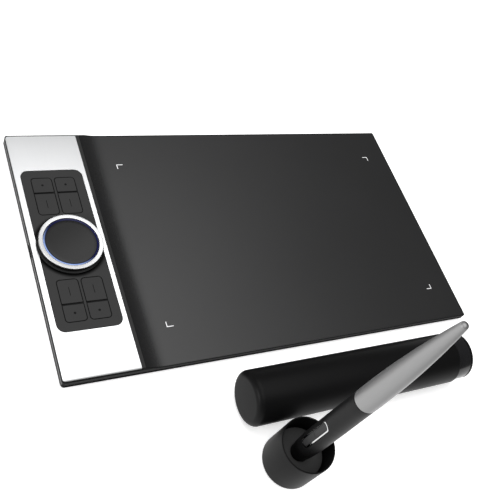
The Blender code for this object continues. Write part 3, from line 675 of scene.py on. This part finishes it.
def piece(name, shape, body, material, stands_for=(), soften=0.0, segments=3):
    """Finish a shape: its edges softened by so many millimetres, its finish, and the body it rides."""
    bmesh.ops.scale(shape, vec=(MM, MM, MM), verts=shape.verts)
    mesh = bpy.data.meshes.new(name)
    shape.to_mesh(mesh)
    shape.free()
    mesh.shade_smooth()
    mesh.set_sharp_from_angle(angle=math.pi if soften else SHARP_ANGLE)
    mesh.materials.append(material)
    item = bpy.data.objects.new(name, mesh)
    bpy.context.scene.collection.objects.link(item)
    if soften:
        bevel = item.modifiers.new("soften", "BEVEL")
        bevel.width = soften * MM
        bevel.segments = segments
        bevel.limit_method = "ANGLE"
        bevel.angle_limit = SHARP_ANGLE
        item.modifiers.new("even", "WEIGHTED_NORMAL")
    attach(item, body)
    if stands_for:
        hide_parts(*([stands_for] if isinstance(stands_for, str) else stands_for))
    return item


# ---------------- housing

def housing_outline(right_corner):
    """The tablet's outline from above. Its two right corners have a radius of their own."""
    corners = (HOUSING_CORNER, right_corner, right_corner, HOUSING_CORNER)
    return rectangle((CASE_LOW.x, CASE_HIGH.x), (CASE_LOW.y, CASE_HIGH.y), corners, 8)


def socket_mouth():
    """The hole that the socket shows through, in the left wall."""
    low, high = extent("usb_shell")
    room = 0.5
    outline = slot_outline(high.y - low.y + room, high.z - low.z + room)
    centre = (low + high) / 2
    return moved(bar_along_x(outline, (-1.0, 3.0)), (CASE_LOW.x, centre.y, centre.z))


def make_lower_shell(material):
    """A shallow tray with a rounded lower edge, sockets for feet and screws, and a label recess."""
    rounding, tray_floor = 1.9, 1.2
    bottom = CASE_LOW.z
    shape = slab(housing_outline(HOUSING_CORNER), (bottom, CASE_HIGH.z))
    under = [edge for edge in shape.edges if all(abs(v.co.z - bottom) < WELD for v in edge.verts)]
    bmesh.ops.bevel(shape, geom=under, offset=rounding, segments=6, affect="EDGES", profile=0.5,
                    material=-1)
    lid = max(shape.faces, key=lambda face: face.calc_center_median().z)
    bmesh.ops.inset_region(shape, faces=[lid], thickness=WALL)
    sunk = bmesh.ops.extrude_face_region(shape, geom=[lid])["geom"]
    bmesh.ops.delete(shape, geom=[lid], context="FACES_ONLY")
    for vertex in (v for v in sunk if isinstance(v, bmesh.types.BMVert)):
        vertex.co.z = bottom + tray_floor
    bmesh.ops.recalc_face_normals(shape, faces=shape.faces)
    cutters = [socket_mouth()]
    head_room, shank_room = 2.2, 1.1
    for node in SCREWS:
        x, y, _ = middle_of(node)
        cutters.append(disc(head_room, (0.0, 1.4), (x, y)))
        cutters.append(disc(shank_room, (1.2, 3.0), (x, y)))
    foot_corner, foot_depth, label_depth = 2.1, 0.5, 0.15
    for node in FEET:
        cutters.append(slab(footprint(node, GAP, foot_corner), (0.0, bottom + foot_depth)))
    label = around(middle_of("bottom_case"), 38.0, 17.0, 2.5)
    cutters.append(slab(label, (0.0, bottom + label_depth)))
    shape = cut(shape, *cutters)
    piece("lower_shell", shape, "tablet", material, "bottom_case", soften=0.1, segments=2)


def ramp_line(start, drop):
    """Points down the ramp from x = start to its foot, so far below the skin's top."""
    steps = 24
    points = []
    for x in spaced(start, RAMP_END, steps):
        along = (RAMP_END - x) / (RAMP_END - RIDGE_END)
        points.append((x, DRAWING_TOP + (RIDGE_TOP - DRAWING_TOP) * along ** RAMP_EASE - drop))
    return points


def end_slopes():
    """Cutters that bevel the ridge and the ramp at their front and back ends."""
    deck = PLATE_LOW.z - GAP
    above = RIDGE_TOP + CUT_PAST
    bars = []
    for y, way in ((COVER_LOW.y, 1), (COVER_HIGH.y, -1)):
        outside, inside = y - way * CUT_PAST, y + way * END_SLOPE
        slope = [(outside, deck), (y, deck), (inside, RIDGE_TOP), (inside, above), (outside, above)]
        bars.append(bar_along_x(slope, (PLATE_HIGH.x, RAMP_END)))
    return bars


def make_upper_shell(material):
    """The cover: a sunk seat for the strip, the ridge beside it, the ramp and the film's recess."""
    outline = ([(COVER_LOW.x, COVER_LOW.z), (COVER_LOW.x, RIDGE_TOP)] + ramp_line(RIDGE_END, 0.0)
               + [(COVER_HIGH.x, DRAWING_TOP), (COVER_HIGH.x, COVER_LOW.z)])
    shape = upright_sheet(outline, (COVER_LOW.y, COVER_HIGH.y))
    bounds = slab(housing_outline(COVER_RIGHT_CORNER), (COVER_LOW.z - 1.0, COVER_HIGH.z + 1.0))
    shape = combined(shape, "INTERSECT", bounds)
    under, above = COVER_LOW.z - 2.0, RIDGE_TOP + CUT_PAST
    inner_y = (COVER_LOW.y + WALL, COVER_HIGH.y - WALL)
    outer_y = (COVER_LOW.y - CUT_PAST, COVER_HIGH.y + CUT_PAST)
    deck, deck_skin, film_skin = PLATE_LOW.z - GAP, 1.2, 1.0
    start, end = FILM_LOW.x - GAP / 2, FILM_HIGH.x + GAP / 2
    recess = ramp_line(start, FILM_THICKNESS + GAP)
    recess += [(end, FILM_LOW.z - GAP), (end, above), (start, above)]
    through = (5.0, 8.0)
    cable_hole, stem_half, screw_hole = 2.6, 2.0, 1.1
    holes = [
        socket_mouth(),
        block((COVER_LOW.x + WALL, PLATE_HIGH.x - 0.9), inner_y, (under, deck - deck_skin)),
        block((PLATE_HIGH.x - 1.9, COVER_HIGH.x - WALL), inner_y, (under, FILM_LOW.z - film_skin)),
        block((COVER_LOW.x - CUT_PAST, PLATE_HIGH.x + GAP), outer_y, (deck, above)),
        upright_sheet(recess, (FILM_LOW.y - GAP / 2, FILM_HIGH.y + GAP / 2)),
        disc(cable_hole, through, (DIAL.x, DIAL.y)),
    ]
    for node in KEYS:
        holes.append(slab(around(middle_of(node), stem_half, stem_half), through))
    for number in range(1, 4):
        x, y, _ = middle_of("dial_screw_%d" % number)
        holes.append(disc(screw_hole, through, (x, y)))
    shape = cut(shape, *holes, *end_slopes())
    piece("upper_shell", shape, "tablet", material, "top_cover", soften=0.14)


def make_film(film, print_white):
    """One skin up the ramp and over the drawing surface, and the printed corners of its active area."""
    skin = (ramp_line(FILM_LOW.x, 0.0) + [(FILM_HIGH.x, DRAWING_TOP), (FILM_HIGH.x, FILM_LOW.z)]
            + ramp_line(FILM_LOW.x, FILM_THICKNESS)[::-1])
    sheet = cut(upright_sheet(skin, (FILM_LOW.y, FILM_HIGH.y)), *end_slopes())
    piece("film_sheet", sheet, "tablet", film, "drawing_film", soften=0.06, segments=2)
    left, right = CASE_LOW.x + 64.7, CASE_LOW.x + 263.6
    inset_y = 23.4
    front, back = CASE_LOW.y + inset_y, CASE_HIGH.y - inset_y
    arm_x, arm_y, line, mark_layer = 4.2, 3.4, 0.5, 0.02
    number = 0
    for x, way_x in ((left, 1), (right, -1)):
        for y, way_y in ((front, 1), (back, -1)):
            number += 1
            corner = [(0, 0), (arm_x, 0), (arm_x, line), (line, line), (line, arm_y), (0, arm_y)]
            outline = [(x + way_x * a, y + way_y * b) for a, b in corner]
            mark = slab(outline, (DRAWING_TOP - mark_layer, DRAWING_TOP + mark_layer))
            piece("area_mark_%d" % number, mark, "tablet", print_white)


def panel_window(grow):
    """The key panel's outline, grown by so many millimetres."""
    return footprint("key_bezel", grow, PANEL_CORNER - GAP + grow, 10)


def make_plate(material):
    """The silver strip, its front edge rolled over, with a window for the key panel."""
    outer, inner = HOUSING_CORNER - (PLATE_LOW.x - CASE_LOW.x), 0.4
    outline = rectangle((PLATE_LOW.x, PLATE_HIGH.x), (PLATE_LOW.y, PLATE_HIGH.y),
                        (outer, inner, inner, outer), 8)
    shape = slab(outline, (PLATE_LOW.z, PLATE_HIGH.z))
    nose = [edge for edge in shape.edges
            if all(max(abs(v.co.y - PLATE_LOW.y), abs(v.co.z - PLATE_HIGH.z)) < WELD for v in edge.verts)]
    bmesh.ops.bevel(shape, geom=nose, offset=0.8, segments=6, affect="EDGES", profile=0.5, material=-1)
    shape = cut(shape, slab(panel_window(0.2), (PLATE_LOW.z - 1.0, PLATE_HIGH.z + CUT_PAST)))
    piece("strip_plate", shape, "tablet", material, "silver_plate", soften=0.3, segments=4)


def make_bezel(material):
    """The key panel, with one opening for each pair of keys and one for the dial's hub."""
    low, high = extent("key_bezel")
    through = (6.0, 12.0)
    hub_opening = 13.6
    openings = [disc(hub_opening, through, (DIAL.x, DIAL.y), 96)]
    for outer, inner in zip(KEYS[0::2], KEYS[1::2]):
        corners = [*extent(outer), *extent(inner)]
        x = min(c.x for c in corners) - KEY_GAP, max(c.x for c in corners) + KEY_GAP
        y = min(c.y for c in corners) - KEY_GAP, max(c.y for c in corners) + KEY_GAP
        openings.append(slab(rectangle(x, y, KEY_CORNER, 8), through))
    shape = cut(slab(panel_window(0.0), (low.z, high.z)), *openings)
    piece("panel_bezel", shape, "tablet", material, "key_bezel", soften=0.08, segments=2)


def key_mark(centre, dot, spare, heights):
    """A key's mark, a dot or a line, drawn in by a little to spare."""
    if dot:
        return disc(0.7 - spare, heights, (centre.x, centre.y), 24)
    half_x, half_y = 0.17 - spare, 2.7 - spare
    return slab(around(centre, half_x, half_y, half_x * 0.9), heights)


def make_keys(material, mark_layer):
    """Each key has a flat cap, engraved with a dot in an outer row and a line in an inner one, and a
    near-black piece set in each engraving as painted shade.
    """
    soft, tight = KEY_CORNER - KEY_GAP, 0.35
    cap_thickness, stem_half, spare = 0.6, 1.5, 0.01
    for number, node in enumerate(KEYS, start=1):
        low, high = extent(node)
        centre = (low + high) / 2
        outer = number % 2 == 1
        rounder_back = (centre.y > DIAL.y) == outer
        radii = (tight, tight, soft, soft) if rounder_back else (soft, soft, tight, tight)
        under = high.z - cap_thickness
        cap = slab(footprint(node, 0.0, radii, 8), (under, high.z))
        stem = slab(around(centre, stem_half, stem_half), (low.z, under + 0.1))
        engraving = key_mark(centre, outer, 0.0, (high.z - 0.4, high.z + 1.0))
        shape = cut(combined(cap, "UNION", stem), engraving)
        # Painted shade: a near-black piece sits just below the cap in each engraving.
        shade_fill = key_mark(centre, outer, spare, (high.z - 0.38, high.z - 0.08))
        piece("key_mark_%d" % number, shade_fill, node, mark_layer)
        piece("keycap_%d" % number, shape, node, material, node, soften=0.07, segments=2)


def make_socket(steel, black, gold):
    """The socket in the left side: a thin shell round a tongue with two rows of contacts."""
    low, high = extent("usb_shell")
    centre = (low + high) / 2
    wide, tall = high.y - low.y, high.z - low.z
    skin = 0.35
    outer = bar_along_x(slot_outline(wide, tall), (low.x, high.x))
    inner = bar_along_x(slot_outline(wide - 2 * skin, tall - 2 * skin), (low.x - 1.0, high.x - 0.4))
    shape = moved(cut(outer, inner), (0, centre.y, centre.z))
    piece("socket_shell", shape, "tablet", steel, "usb_shell", soften=0.08, segments=2)
    low, high = extent("usb_tongue")
    tongue = block((low.x, high.x), (low.y, high.y), (low.z, high.z))
    piece("socket_tongue", tongue, "tablet", black, "usb_tongue", soften=0.12, segments=2)
    contacts = []
    count, pitch, half_y, half_z = 12, 0.5, 0.13, 0.03
    for side in (low.z, high.z):
        for number in range(count):
            y = centre.y + (number - (count - 1) / 2) * pitch
            contacts.append(block((low.x + 0.4, high.x - 1.2), (y - half_y, y + half_y),
                                  (side - half_z, side + half_z)))
    piece("socket_contacts", joined(*contacts), "tablet", gold)


def make_screws_and_feet(steel, rubber):
    """Cross-headed screws and rubber pads under the tablet."""
    head, shank, thickness = 1.8, 0.75, 0.3
    long, short, depth = (-1.0, 1.0), (-0.2, 0.2), 0.2
    for number, node in enumerate(SCREWS, start=1):
        low, high = extent(node)
        profile = rounded([(0, low.z, 0), (head, low.z, 0.12), (head, low.z + thickness, 0),
                           (shank, low.z + thickness, 0), (shank, high.z, 0), (0, high.z, 0)], 3)
        recess = (low.z - 1.0, low.z + depth)
        shape = cut(turned(profile, 32), block(long, short, recess), block(short, long, recess))
        x, y, _ = middle_of(node)
        screw = moved(shape, (x, y, 0))
        piece("shell_screw_%d" % number, screw, "tablet", steel, node)
    for number, node in enumerate(FEET, start=1):
        low, high = extent(node)
        pad = slab(footprint(node, 0.0, 1.8, 8), (low.z, high.z))
        piece("rubber_foot_%d" % number, pad, "tablet", rubber, node, soften=0.25)


# ---------------- dial

def make_dial(body_black, ring_silver, glow, pad_black, post_black):
    """A wheel with a skirt, a groove and a silver ring, round the lit ring and the dished touch pad."""
    ring_low, ring_high = extent("dial_ring")
    wheel_low, wheel_high = extent("dial_wheel")
    pad_low, pad_high = extent("touch_disc")
    glow_low, glow_high = extent("light_ring")
    reach = half_width("dial_ring")
    centre = (DIAL.x, DIAL.y, 0)
    web_low, web_high = 8.9, 10.2
    skirt = half_width("dial_wheel")
    hub_bore, hub, groove = 7.0, 9.2, skirt - 1.4
    rim, bore = reach - 0.2, 15.9
    wheel = rounded([
        (hub_bore, wheel_low.z, 0.2), (hub, wheel_low.z, 0.2), (hub, web_low, 0), (skirt - 2.0, web_low, 0),
        (skirt - 2.0, web_low - 0.25, 0), (skirt, web_low - 0.25, 0.1), (skirt, web_low + 0.5, 0.2),
        (groove, web_low + 0.8, 0.1), (groove, web_low + 1.5, 0.1), (rim, web_low + 1.8, 0.15),
        (rim, wheel_high.z, 0.1), (bore, wheel_high.z, 0.2), (bore, web_high, 0),
        (hub_bore, web_high, 0)], 5)
    piece("wheel_body", moved(turned(wheel), centre), "dial", body_black, "dial_wheel")
    ring = rounded([
        (bore - 0.1, ring_low.z, 0.1), (reach, ring_low.z, 0.15), (reach, ring_high.z, 0.3),
        (bore - 0.1, ring_high.z, 0.15)], 8)
    piece("wheel_ring", moved(turned(ring, 160), centre), "dial", ring_silver, "dial_ring")
    edge = half_width("touch_disc")
    lamp, inner = half_width("light_ring"), edge + 0.12
    light = rounded([
        (inner, glow_low.z, 0), (lamp, glow_low.z, 0), (lamp, glow_high.z, 0.15),
        (lamp - 0.3, glow_high.z, 0.12), (inner, pad_high.z - 0.3, 0.05)], 4)
    piece("glow_ring", moved(turned(light, 160), centre), "tablet", glow, "light_ring")
    lip, dish_depth, dish_steps = 0.2, 0.12, 8
    pad = [(0, pad_low.z), (edge, pad_low.z), (edge, pad_high.z - lip),
           (edge - lip * 0.3, pad_high.z - lip * 0.3), (edge - lip, pad_high.z)]
    for along in spaced(1, 0, dish_steps)[1:]:
        pad.append(((edge - lip) * along, pad_high.z - dish_depth * (1 - along ** 2)))
    piece("touch_pad", moved(turned(pad, 128), centre), "tablet", pad_black, "touch_disc")
    dress("dial_post", post_black)


def dress(node, material):
    """Give a CAD node that stays its finish."""
    item = frame["nodes"][node]
    item.data.materials.clear()
    item.data.materials.append(material)


# ---------------- pen

PEN_GRIP = 6.4
PEN_BARREL = 6.2
PEN_BORE = PEN_BARREL - 1.1
NOSE_START = 5.9
NOSE_LENGTH = 20.1
TAIL_START = 88.3


def nose_radius(height):
    """The nose swells from its tip's radius to the barrel's along a bent sine."""
    along = min(max((height - NOSE_START) / NOSE_LENGTH, 0.0), 1.0)
    return 1.5 + 4.5 * math.sin(math.pi / 2 * along) ** 0.85


def tail_radius(height, top):
    """The tail tapers slowly at first, then faster towards its top."""
    along = (height - TAIL_START) / (top - 1.0 - TAIL_START)
    return PEN_BARREL - 4.3 * along ** 2.1


def side_slot(grow, reach):
    """The side button's slot shape, standing out from the pen towards -X."""
    low, high = extent("pen_button_bezel")
    length, width = high.z - low.z + 2 * grow, high.y - low.y + 2 * grow
    outline = [(y, z) for z, y in slot_outline(length, width, 16)]
    return moved(bar_along_x(outline, (-reach[0], -reach[1])), (PEN.x, PEN.y, (low.z + high.z) / 2))


def pen_skin(radius):
    """A long rod about the pen's axis, which gives the side button's pieces their round outside."""
    return disc(radius, (15.0, 85.0), (PEN.x, PEN.y), 160)


def pen_turned(outline, steps):
    return moved(turned(outline, steps), (PEN.x, PEN.y, 0))


def make_barrel(soft_black):
    """The nose cone and the barrel, which is a little thicker at the grip."""
    low, high = extent("pen_nose")
    wall, nib_bore = 1.0, 1.15
    outer = [(nose_radius(height), height) for height in spaced(low.z, high.z, 18)]
    inner = [(4.9, high.z), (nose_radius(20.0) - wall, 20.0), (nose_radius(12.5) - wall, 12.5),
             (nib_bore, 8.5), (nib_bore, low.z)]
    piece("pen_nose_cone", pen_turned(outer + inner, 96), "pen", soft_black, "pen_nose")
    low, high = extent("pen_barrel")
    grip_low, grip_high, grip_end = low.z + 6.0, 62.0, 80.0
    barrel = rounded([(PEN_BORE, low.z, 0), (6.05, low.z, 0.2), (PEN_GRIP, grip_low, 8.0),
                      (PEN_GRIP, grip_high, 20.0), (PEN_BARREL, grip_end, 20.0), (PEN_BARREL, high.z, 0.25),
                      (PEN_BORE, high.z, 0)], 6)
    shape = cut(pen_turned(barrel, 128), side_slot(0.2, (3.9, 9.0)))
    piece("pen_grip", shape, "pen", soft_black, "pen_barrel")


def make_tail(tail_silver):
    """The tapered tail, with a domed tip and a hollow that ends part of the way up."""
    low, high = extent("pen_tail")
    tip, dome, dome_steps = tail_radius(high.z - 1.0, high.z), 1.4, 8
    outer = [(PEN_BARREL - 0.2, low.z), (PEN_BARREL, low.z + 0.2)]
    outer += [(tail_radius(height, high.z), height) for height in spaced(low.z + 2.0, high.z - 1.6, 26)]
    for step in range(1, dome_steps + 1):
        angle = math.pi / 2 * step / dome_steps
        outer.append((tip * math.cos(angle), high.z - dome + dome * math.sin(angle)))
    hollow_top = 140.0
    inner = [(0, hollow_top), (3.0, hollow_top), (4.6, 112.0), (PEN_BORE, low.z)]
    piece("pen_tail_shell", pen_turned(outer + inner, 128), "pen", tail_silver, "pen_tail")


def make_side_button(chrome, button_black):
    """A chrome rim round a rocker with a shallow groove across its middle."""
    rim_width, rocker_inset = 0.55, 0.85
    rim = cut(side_slot(0.0, (4.2, 9.0)), side_slot(-rim_width, (3.0, 10.0)))
    rim = combined(rim, "INTERSECT", pen_skin(PEN_GRIP + 0.11))
    piece("button_rim", rim, "pen", chrome, "pen_button_bezel", soften=0.04, segments=2)
    rocker = combined(side_slot(-rocker_inset, (4.9, 9.0)), "INTERSECT", pen_skin(PEN_GRIP + 0.04))
    low, high = extent("pen_button")
    middle, half, depth = (low.z + high.z) / 2, 0.2, 0.22
    waist = block((low.x - 1.0, low.x + depth), (PEN.y - 3.0, PEN.y + 3.0), (middle - half, middle + half))
    piece("rocker_button", cut(rocker, waist), "side_button", button_black, "pen_button",
          soften=0.06, segments=2)


def make_nib(nib_white):
    low, high = extent("pen_nib")
    tip, shank = 0.45, 0.8
    nib = [(0, low.z)]
    for degrees in (20, 40, 60, 80):
        angle = math.radians(degrees)
        nib.append((tip * math.sin(angle), low.z + tip * (1 - math.cos(angle))))
    nib += [(shank, low.z + 2.0), (shank, high.z), (0, high.z)]
    piece("nib_pin", pen_turned(nib, 32), "nib", nib_white, "pen_nib")


# ---------------- stand and case

def make_stand(satin_black, rubber):
    """A thin-walled cup, the soft seat for the pen's nose inside it, and the pad under it."""
    low, high = extent("stand_cup")
    outer, pad_room, base, base_top = half_width("stand_cup"), 13.9, 1.1, 2.6
    inner = outer - 0.85
    cup = rounded([
        (0, base, 0), (pad_room, base, 0), (pad_room, low.z, 0.15), (outer, low.z, 1.6),
        (outer, high.z, 0.32), (inner, high.z, 0.3), (inner, base_top, 0.8), (0, base_top, 0)], 8)
    piece("cup_body", pen_turned(cup, 160), "stand", satin_black, "stand_cup")
    low, high = extent("stand_insert")
    reach, chamfer, room = half_width("stand_insert"), 0.4, 0.4
    seat = [(2.0, low.z), (reach, low.z), (reach, high.z - chamfer), (reach - chamfer, high.z)]
    seat += [(nose_radius(height) + room, height) for height in spaced(high.z, 7.0, 6)]
    piece("cup_insert", pen_turned(seat, 96), "stand", rubber, "stand_insert")
    low, high = extent("stand_pad")
    reach = half_width("stand_pad")
    pad = rounded([(0, low.z, 0), (reach, low.z, 0.3), (reach, high.z, 0.1), (0, high.z, 0)], 5)
    piece("cup_pad", pen_turned(pad, 96), "stand", rubber, "stand_pad")


def case_shape(shape):
    """Put a shape made upright about Z in its place along the case."""
    return moved(laid_along_x(shape), TUBE_AXIS)


def case_span(node):
    """How far along the case a node starts and ends."""
    low, high = extent(node)
    return low.x - TUBE_AXIS.x, high.x - TUBE_AXIS.x


def make_case(satin_black, gloss_black, white):
    """A tube with a glossy neck, and a plug with spare nibs that slides out of the neck."""
    length = TUBE_HIGH.x - TUBE_LOW.x
    outer, end_wall = (TUBE_HIGH.z - TUBE_LOW.z) / 2, 2.2
    bore = outer - 2.1
    tube = rounded([(0, 0, 0), (outer, 0, 4.0), (outer, length, 0.35), (bore, length, 0.15),
                    (bore, end_wall, 3.0), (0, end_wall, 0)], 10)
    piece("tube_body", case_shape(turned(tube, 160)), "pen_case", satin_black, "case_tube")
    start, end = case_span("case_neck")
    low, high = extent("case_neck")
    radius, mouth = (high.z - low.z) / 2, 11.6
    fitted, seat = bore - GAP, length + GAP
    neck = rounded([(mouth, start, 0), (fitted, start, 0), (fitted, seat, 0), (radius, seat, 0.12),
                    (radius, end, 0.25), (mouth, end, 0)], 5)
    piece("neck_band", case_shape(turned(neck, 160)), "pen_case", gloss_black, "case_neck")
    start, end = case_span("case_plug")
    flange, shank, dish, dish_depth = end - 1.5, mouth - GAP, 12.9, 0.12
    plug = rounded([(0, start, 0), (shank, start, 0.2), (shank, flange, 0), (radius, flange, 0.15),
                    (radius, end, 0.4), (dish, end, 0.12), (dish - 0.2, end - dish_depth, 0.1),
                    (0, end - dish_depth, 0)], 5)
    sockets, nibs = [], []
    count, circle, nib_radius, nib_room = 6, 6.5, 0.8, 1.1
    nib_start, nib_end = case_span("nib_rack")
    for number in range(count):
        angle = math.tau * number / count
        place = (circle * math.cos(angle), circle * math.sin(angle))
        sockets.append(disc(nib_room, (start - 6.0, start + 6.0), place, 24))
        pin = rounded([(0, nib_start, 0), (nib_radius, nib_start, 0.35), (nib_radius, nib_end, 0.2),
                       (0, nib_end, 0)], 4)
        nibs.append(moved(turned(pin, 24), (*place, 0)))
    shape = cut(turned(plug, 160), *sockets)
    piece("end_plug", case_shape(shape), "case_end", satin_black, "case_plug")
    rack_low, rack_high, rack_radius = 143.6, 145.6, 8.7
    rack = rounded([(0, rack_low, 0), (rack_radius, rack_low, 0.3), (rack_radius, rack_high, 0.3),
                    (0, rack_high, 0)], 4)
    shape = combined(turned(rack, 64), "UNION", *nibs)
    piece("nib_carrier", case_shape(shape), "case_end", white, "nib_rack")


# ---------------- inner pieces, stage and light

def dress_inner_pieces():
    green = solder_mask("board_green")
    for node in ("main_board", "antenna_board", "touch_board", "encoder_board", "pen_board"):
        dress(node, green)
    steel = bright_steel("plated_steel", 0.6, 0.3)
    for node in ("shield_can", "encoder_magnet", "pressure_sensor", "dial_screw_1", "dial_screw_2",
                 "dial_screw_3"):
        dress(node, steel)
    dress("shield_sheet", bright_steel("shield_foil", 0.72, 0.38))
    dress("dome_mat", black_rubber("grey_silicone", 0.14))
    dress("controller_chip", moulded("chip_epoxy", 0.02, 0.5, 0.2))
    amber = flex_film("amber_ribbon")
    dress("board_link", amber)
    dress("dial_flex", amber)
    dress("pen_coil", wound_copper("copper_winding"))
    dress("pen_switch", plain_white("switch_white"))


def make_stage():
    """A pale floor just under the set."""
    half_width_m, drop_m = 4.0, 0.0002
    shape = bmesh.new()
    bmesh.ops.create_grid(shape, x_segments=1, y_segments=1, size=half_width_m)
    moved(shape, (0, 0, -drop_m))
    mesh = bpy.data.meshes.new("floor")
    shape.to_mesh(mesh)
    shape.free()
    mesh.materials.append(pale_floor("pale_floor"))
    floor = bpy.data.objects.new("floor", mesh)
    bpy.context.scene.collection.objects.link(floor)


def soft_light(name, place, target, size, power):
    """A panel that lights a target, both placed in metres. The camera doesn't see it."""
    data = bpy.data.lights.new(name, "AREA")
    data.shape = "RECTANGLE"
    data.size, data.size_y = size
    data.energy = power
    lamp = bpy.data.objects.new(name, data)
    lamp.location = place
    lamp.rotation_euler = (Vector(target) - Vector(place)).to_track_quat("-Z", "Y").to_euler()
    lamp.visible_camera = False
    bpy.context.scene.collection.objects.link(lamp)


def make_light():
    """One soft overhead panel, a dim room, and a side panel that lights the upright pen's left."""
    world = bpy.data.worlds.new("studio")
    world.use_nodes = True
    background = world.node_tree.nodes["Background"]
    background.inputs["Color"].default_value = (1.0, 1.0, 1.0, 1.0)
    background.inputs["Strength"].default_value = 0.15
    bpy.context.scene.world = world
    bpy.context.scene.view_settings.view_transform = "Standard"
    soft_light("overhead_panel", (-0.05, 0.1, 1.25), (-0.05, 0.1, 0), (1.4, 1.8), 26.0)
    soft_light("left_panel", (-1.1, -0.1, 0.35), (0, 0, 0), (0.5, 0.5), 9.0)


def main():
    make_camera()
    over_dial = (DIAL.x, DIAL.y, 0)
    shell_black = cover_black("shell_black")
    panel_black = panel_finish("panel_black", 0.031, (19.2, 21.6))
    wheel_black = moulded("wheel_black", 0.003, 0.36, 0.25, 0.006, specular=0.12)
    pad_black = dished_black("pad_black", over_dial, half_width("touch_disc"))
    button_black = moulded("button_black", 0.016, 0.44, 0.18, 0.005, specular=0.2)
    soft_black = moulded("soft_touch_black", 0.004, 0.44, 0.2, 0.006, specular=0.13)
    satin_black = moulded("satin_black", 0.004, 0.4, 0.25, 0.008, specular=0.06)
    rubber = black_rubber("foot_rubber")
    make_lower_shell(shell_black)
    make_upper_shell(shell_black)
    make_film(charcoal_film("charcoal_film"), printed_white("printed_white"))
    make_plate(brushed_silver("brushed_silver"))
    make_bezel(panel_black)
    make_keys(panel_black, moulded("mark_black", 0.002, 0.6, 0.2, specular=0.1))
    make_socket(bright_steel("dark_plating", 0.08, 0.35), moulded("tongue_black", 0.015, 0.4, 0.2),
                bright_gold("contact_gold"))
    make_screws_and_feet(bright_steel("screw_steel", 0.3, 0.3), rubber)
    lamp = half_width("light_ring")
    glow = glow_blue("glow_blue", over_dial, lamp - 1.0, lamp)
    ring_silver = turned_silver("turned_silver", over_dial, 0.34, bright=0.55)
    make_dial(wheel_black, ring_silver, glow, pad_black, moulded("post_black", 0.006, 0.45, 0.3))
    make_barrel(soft_black)
    make_tail(tail_paint("tail_paint"))
    make_side_button(turned_silver("button_chrome", (PEN.x, PEN.y, 0), 0.08), button_black)
    make_nib(plain_white("nib_acetal", 0.6))
    make_stand(satin_black, rubber)
    make_case(satin_black, polished_black("polished_black"), plain_white("rack_white"))
    dress_inner_pieces()
    make_stage()
    make_light()


main()
